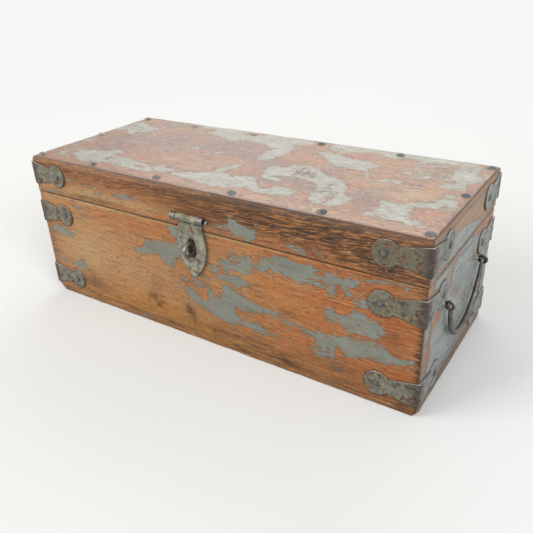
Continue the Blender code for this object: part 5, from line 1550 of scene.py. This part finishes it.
class CHEST_OT_ends(bpy.types.Operator):
    """Make the two end boards of the body"""

    bl_idname = "chest.ends"
    bl_label = "End boards"

    def execute(self, context):
        make_boards(context, "right_end_board", "left_end_board")
        return {"FINISHED"}


class CHEST_OT_bottom(bpy.types.Operator):
    """Make the bottom board, whose edge shows all round"""

    bl_idname = "chest.bottom"
    bl_label = "Bottom board"

    def execute(self, context):
        make_boards(context, "bottom_board")
        return {"FINISHED"}


class CHEST_OT_lid_boards(bpy.types.Operator):
    """Make the lid's top board and its four rails"""

    bl_idname = "chest.lid_boards"
    bl_label = "Lid boards"

    def execute(self, context):
        make_boards(context, "lid_top_board", "lid_front_rail", "lid_back_rail", "lid_right_rail", "lid_left_rail")
        return {"FINISHED"}


class CHEST_OT_straps(bpy.types.Operator):
    """Bend the twelve keyhole straps round the corners, each with its two nails"""

    bl_idname = "chest.straps"
    bl_label = "Corner straps"

    def execute(self, context):
        seed = FIRST_STRAP_SEED
        for level, (height, half_length, body) in STRAP_LEVELS.items():
            for face, sy in FRONT_AND_BACK:
                for end, sx in LEFT_AND_RIGHT:
                    place = Matrix.Translation((sx * half_length, sy * FACE_Y, height))
                    part, leaf_count = strap_part(seed, context.scene.chest_iron.hammering / MM)
                    part = moved(part, place @ Matrix.Diagonal((sx, -sy, 1, 1)))
                    name = f"{level}_strap_{face}_{end}"
                    masks = strap_masks(part[0], height, half_length, leaf_count, GRUBBY.get(name, 0.3))
                    iron_piece(name, "_forged", part, "painted_iron", body, "painted_iron", **masks)
                    seed += 1
        return {"FINISHED"}


class CHEST_OT_nails(bpy.types.Operator):
    """Drive the lid's domed nails and the bottom board's flat ones"""

    bl_idname = "chest.nails"
    bl_label = "Nails"

    def execute(self, context):
        spots = {
            f"lid_nail_{face}_{number}": (x, sy * LID_NAIL_Y)
            for face, sy in FRONT_AND_BACK for number, x in enumerate(LID_NAIL_X, 1)}
        spots |= {f"lid_nail_{end}": (sx * LID_NAIL_X[-1], LID_END_NAIL_Y) for end, sx in LEFT_AND_RIGHT}
        for seed, (name, (x, y)) in enumerate(spots.items()):
            turn = Matrix.Translation((x, y, LID_NAIL_SEAT)) @ Matrix.Rotation(seed * 1.7, 4, "Z")
            part = moved(dome(*LID_NAIL, sides=22, seed=seed, foot=0.28), turn)
            iron = "faded_nail_iron" if name in FADED_NAILS else "nail_iron"
            iron_piece(name, "_head", part, iron, "lid", "nail_iron")
        for name in [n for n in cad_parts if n.startswith("bottom_nail")]:
            low, high = (np.array(corner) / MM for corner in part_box(name))
            middle = (low + high) / 2
            radius = (high[0] - low[0]) / 2
            profile = [
                (0, low[2]), (radius * 0.7, low[2] + 0.08), (radius, low[2] + 0.5), (radius, low[2] + 0.9),
                (0.9, low[2] + 1.0), (0.9, high[2] - 3), (0, high[2])]
            part = moved(turned(profile, 20), Matrix.Translation((middle[0], middle[1], 0)))
            iron_piece(name, "_driven", part, "nail_iron", "chest", "nail_iron")
        return {"FINISHED"}


class CHEST_OT_hinges(bpy.types.Operator):
    """Make the two back hinges: a lid leaf, a body leaf and a pin each"""

    bl_idname = "chest.hinges"
    bl_label = "Back hinges"

    def execute(self, context):
        half = HINGE_HALF
        third = (2 * half - 0.8) / 6
        leaves = {
            "lid": (1, "lid", [(-third, third)]),
            "body": (-1, "chest", [(-half, -third - 0.4), (third + 0.4, half)]),
        }
        for end, sx in LEFT_AND_RIGHT:
            at = Matrix.Translation((sx * HINGE_X, HINGE_Y, HINGE_Z))
            for part, (sign, body, spans) in leaves.items():
                name = f"hinge_{part}_leaf_{end}"
                leaf = moved(hinge_leaf(sign, spans), at)
                iron_piece(name, "_rolled", leaf, "hinge_iron", body, "hinge_iron")
            pin = headed_pin(HINGE_PIN_RADIUS, HINGE_BARREL - 0.6, 0.8, -half - 1.1, half + 1.1, 18)
            iron_piece(f"hinge_pin_{end}", "_driven", moved(pin, at), "hinge_iron", "chest", "hinge_iron")
        return {"FINISHED"}


class CHEST_OT_lock_staple(bpy.types.Operator):
    """Drive the wire loop that comes through the hasp's slot"""

    bl_idname = "chest.lock_staple"
    bl_label = "Lock staple"

    def execute(self, context):
        iron = context.scene.chest_iron
        x, z, wire, bow, reach = STAPLE
        out = reach - wire - bow
        leg = [(9.0, bow), (4.0, bow), (0, bow), (-out * 0.5, bow)]
        line = [*[(y, -h) for y, h in leg], *arc((-out, 0), bow, -pi / 2, -3 * pi / 2, 22), *leg[::-1]]
        spots = [(0, y, h) for y, h in line]
        part = swept(spots, [wire] * len(line), iron.sides, hammering=iron.hammering / MM, seed=5)
        part = outward(*moved(part, Matrix.Translation((x, -FACE_Y, z))))
        iron_piece("lock_staple", "_driven", part, "staple_iron", "chest", "dark_iron")
        return {"FINISHED"}


class CHEST_OT_hasp(bpy.types.Operator):
    """Forge the hasp plate with its slot and rolled barrel"""

    bl_idname = "chest.hasp"
    bl_label = "Hasp plate"

    def execute(self, context):
        barrel = scroll(HASP_BARREL, HASP_PLATE - 0.04, 6.0, -HASP_BARREL_HALF, HASP_BARREL_HALF)
        part = joined(hasp_plate_part(context.scene.chest_iron.hammering / MM * 0.5), barrel)
        part = moved(part, Matrix.Translation(HASP_AXIS))
        x, _, z = (part[0] - HASP_AXIS).T
        from_slot = np.hypot(x / HASP_SLOT[0], (z + HASP_SLOT_DOWN) / HASP_SLOT[1]) - 1
        # head paints shade round the slot's edge; grubby darkens the plate below its barrel.
        masks = {
            "head": 0.9 * np.exp(-((from_slot / 0.38) ** 2)),
            "grubby": 0.45 * np.exp(-(((z + 9) / 9) ** 2)),
        }
        iron_piece("hasp_plate", "_forged", part, "hasp_iron", "hasp", "painted_iron", **masks)
        return {"FINISHED"}


class CHEST_OT_hasp_pin_and_eyes(bpy.types.Operator):
    """Make the pin that the hasp turns on and the two eyes that hold it"""

    bl_idname = "chest.hasp_pin_and_eyes"
    bl_label = "Hasp pin and eyes"

    def execute(self, context):
        at = Matrix.Translation(HASP_AXIS)
        iron_piece("hasp_pin", "_turned", moved(headed_pin(*HASP_PIN, 20), at), "worn_steel", "lid", "worn_steel")
        radius, width, side = HASP_EYE
        for end, sx in LEFT_AND_RIGHT:
            band = eye_band(radius, width, HASP_PIN[0] + 0.3)
            shank = swept([(0, y, 0) for y in (2.4, 4.5, 9.0, 14.0)], [1.6, 1.5, 1.5, 1.3], 14)
            part = moved(joined(band, outward(*shank)), at @ Matrix.Translation((sx * side, 0, 0)))
            iron_piece(f"hasp_eye_{end}", "_driven", part, "worn_steel", "lid", "worn_steel")
        return {"FINISHED"}


class CHEST_OT_handle_eyes(bpy.types.Operator):
    """Bend the four eyes of the handles and clench their tails inside"""

    bl_idname = "chest.handle_eyes"
    bl_label = "Handle eyes"

    def execute(self, context):
        inside = EYE_X - EYE_TAIL_X
        line = [(EYE_RING, 0), (EYE_RING + 4, 0), (12.0, 0)]
        line += [*arc((inside - 2.2, -2.2), 2.2, pi / 2, 0, 8), (inside, -5), (inside, -8)]
        ring = arc((0, 0), EYE_RING, 0, 2 * pi, 32)[:-1]
        hammering = context.scene.chest_iron.hammering / MM
        for end, sx in LEFT_AND_RIGHT:
            for face, sy in FRONT_AND_BACK:
                loop = swept([(x, 0, z) for x, z in ring], [EYE_WIRE] * len(ring), 16, True, hammering, 9)
                tail = swept([(x, 0, z) for x, z in line], [EYE_WIRE] * len(line), 16)
                place = Matrix.Translation((sx * EYE_X, sy * EYE_Y, EYE_Z)) @ Matrix.Diagonal((-sx, 1, 1, 1))
                part = moved(joined(outward(*loop), outward(*tail)), place)
                iron_piece(f"{end}_eye_{face}", "_bent", part, "dark_iron", "chest", "dark_iron")
        return {"FINISHED"}


class CHEST_OT_bails(bpy.types.Operator):
    """Forge the two bail handles, thick in the middle and knobbed at the ends"""

    bl_idname = "chest.bails"
    bl_label = "Bail handles"

    def execute(self, context):
        iron = context.scene.chest_iron
        # One end, from its knob through the eye and round the bend: place across and down, radius.
        half = [(48.4, 0, 1.7), (48.25, 0, 2.05), (48.0, 0, 2.2), (47.3, 0, 2.2), (47.1, 0, 1.9)]
        half += [(y, 0, BAIL_THIN) for y in (47.0, 46, 45)]
        half += [(*spot, BAIL_THIN) for spot in arc((BAIL_LEG + BAIL_BEND, -BAIL_BEND), BAIL_BEND, pi / 2, pi, 8)]
        bow = [
            (BAIL_LEG * cos(a), -BAIL_BEND - (BAIL_DROP - BAIL_BEND) * sin(a), BAIL_THIN + BAIL_SWELL * sqrt(sin(a)))
            for a in angles(144)[1:72]]
        line = [*half, *bow, *[(-y, z, radius) for y, z, radius in reversed(half)]]
        spots = [(0, y, z) for y, z, _ in line]
        for end, sx in LEFT_AND_RIGHT:
            part = swept(spots, [r for _, _, r in line], iron.sides, hammering=iron.hammering / MM, seed=7)
            part = outward(*moved(part, Matrix.Translation((sx * EYE_X, 0, EYE_Z))))
            iron_piece(f"{end}_bail", "_forged", part, "bail_iron", f"{end}_handle", "dark_iron")
        return {"FINISHED"}


class CHEST_OT_stage(bpy.types.Operator):
    """Set up the floor, lamps, world and camera"""

    bl_idname = "chest.stage"
    bl_label = "Stage"

    def execute(self, context):
        settings = context.scene.chest_stage
        make_floor()
        make_lamp("key_lamp", (-1.15, -1.45, 1.15), 1.2, 1.2, settings.key, (1.0, 0.985, 0.96))
        make_lamp("side_lamp", (1.35, -0.85, 0.95), 0.9, 0.9, settings.side, (0.90, 0.96, 1.0))
        make_lamp("sheen_lamp", (-0.7, 1.85, 1.5), 2.5, 1.2, settings.sheen, (1.0, 1.0, 1.0))
        make_world(settings)
        make_camera(settings)
        context.scene.view_settings.view_transform = "Standard"
        return {"FINISHED"}


PIECES = (
    CHEST_OT_front_and_back, CHEST_OT_ends, CHEST_OT_bottom, CHEST_OT_lid_boards, CHEST_OT_straps,
    CHEST_OT_nails, CHEST_OT_hinges, CHEST_OT_lock_staple, CHEST_OT_hasp, CHEST_OT_hasp_pin_and_eyes,
    CHEST_OT_handle_eyes, CHEST_OT_bails, CHEST_OT_stage,
)


class CHEST_PT_pieces(bpy.types.Panel):
    """The chest's pieces and settings"""

    bl_idname = "CHEST_PT_pieces"
    bl_label = "Painted chest"
    bl_space_type = "VIEW_3D"
    bl_region_type = "UI"
    bl_category = "Chest"

    def draw(self, context):
        for operator in PIECES:
            self.layout.operator(operator.bl_idname)
        for group in (context.scene.chest_wood, context.scene.chest_iron, context.scene.chest_stage):
            box = self.layout.box()
            for name in group.__annotations__:
                box.prop(group, name)


CLASSES = (ChestWood, ChestIron, ChestStage, *PIECES, CHEST_PT_pieces)
GROUPS = {"chest_wood": ChestWood, "chest_iron": ChestIron, "chest_stage": ChestStage}


def register():
    """Add the classes, and the settings to the scene."""
    for item in CLASSES:
        bpy.utils.register_class(item)
    for name, group in GROUPS.items():
        setattr(bpy.types.Scene, name, PointerProperty(type=group))


def unregister():
    """Take them away again."""
    for name in GROUPS:
        delattr(bpy.types.Scene, name)
    for item in reversed(CLASSES):
        bpy.utils.unregister_class(item)


def main():
    """Make every piece and the stage."""
    register()
    for operator in PIECES:
        group, name = operator.bl_idname.split(".")
        getattr(getattr(bpy.ops, group), name)()


if __name__ == "__main__":
    main()
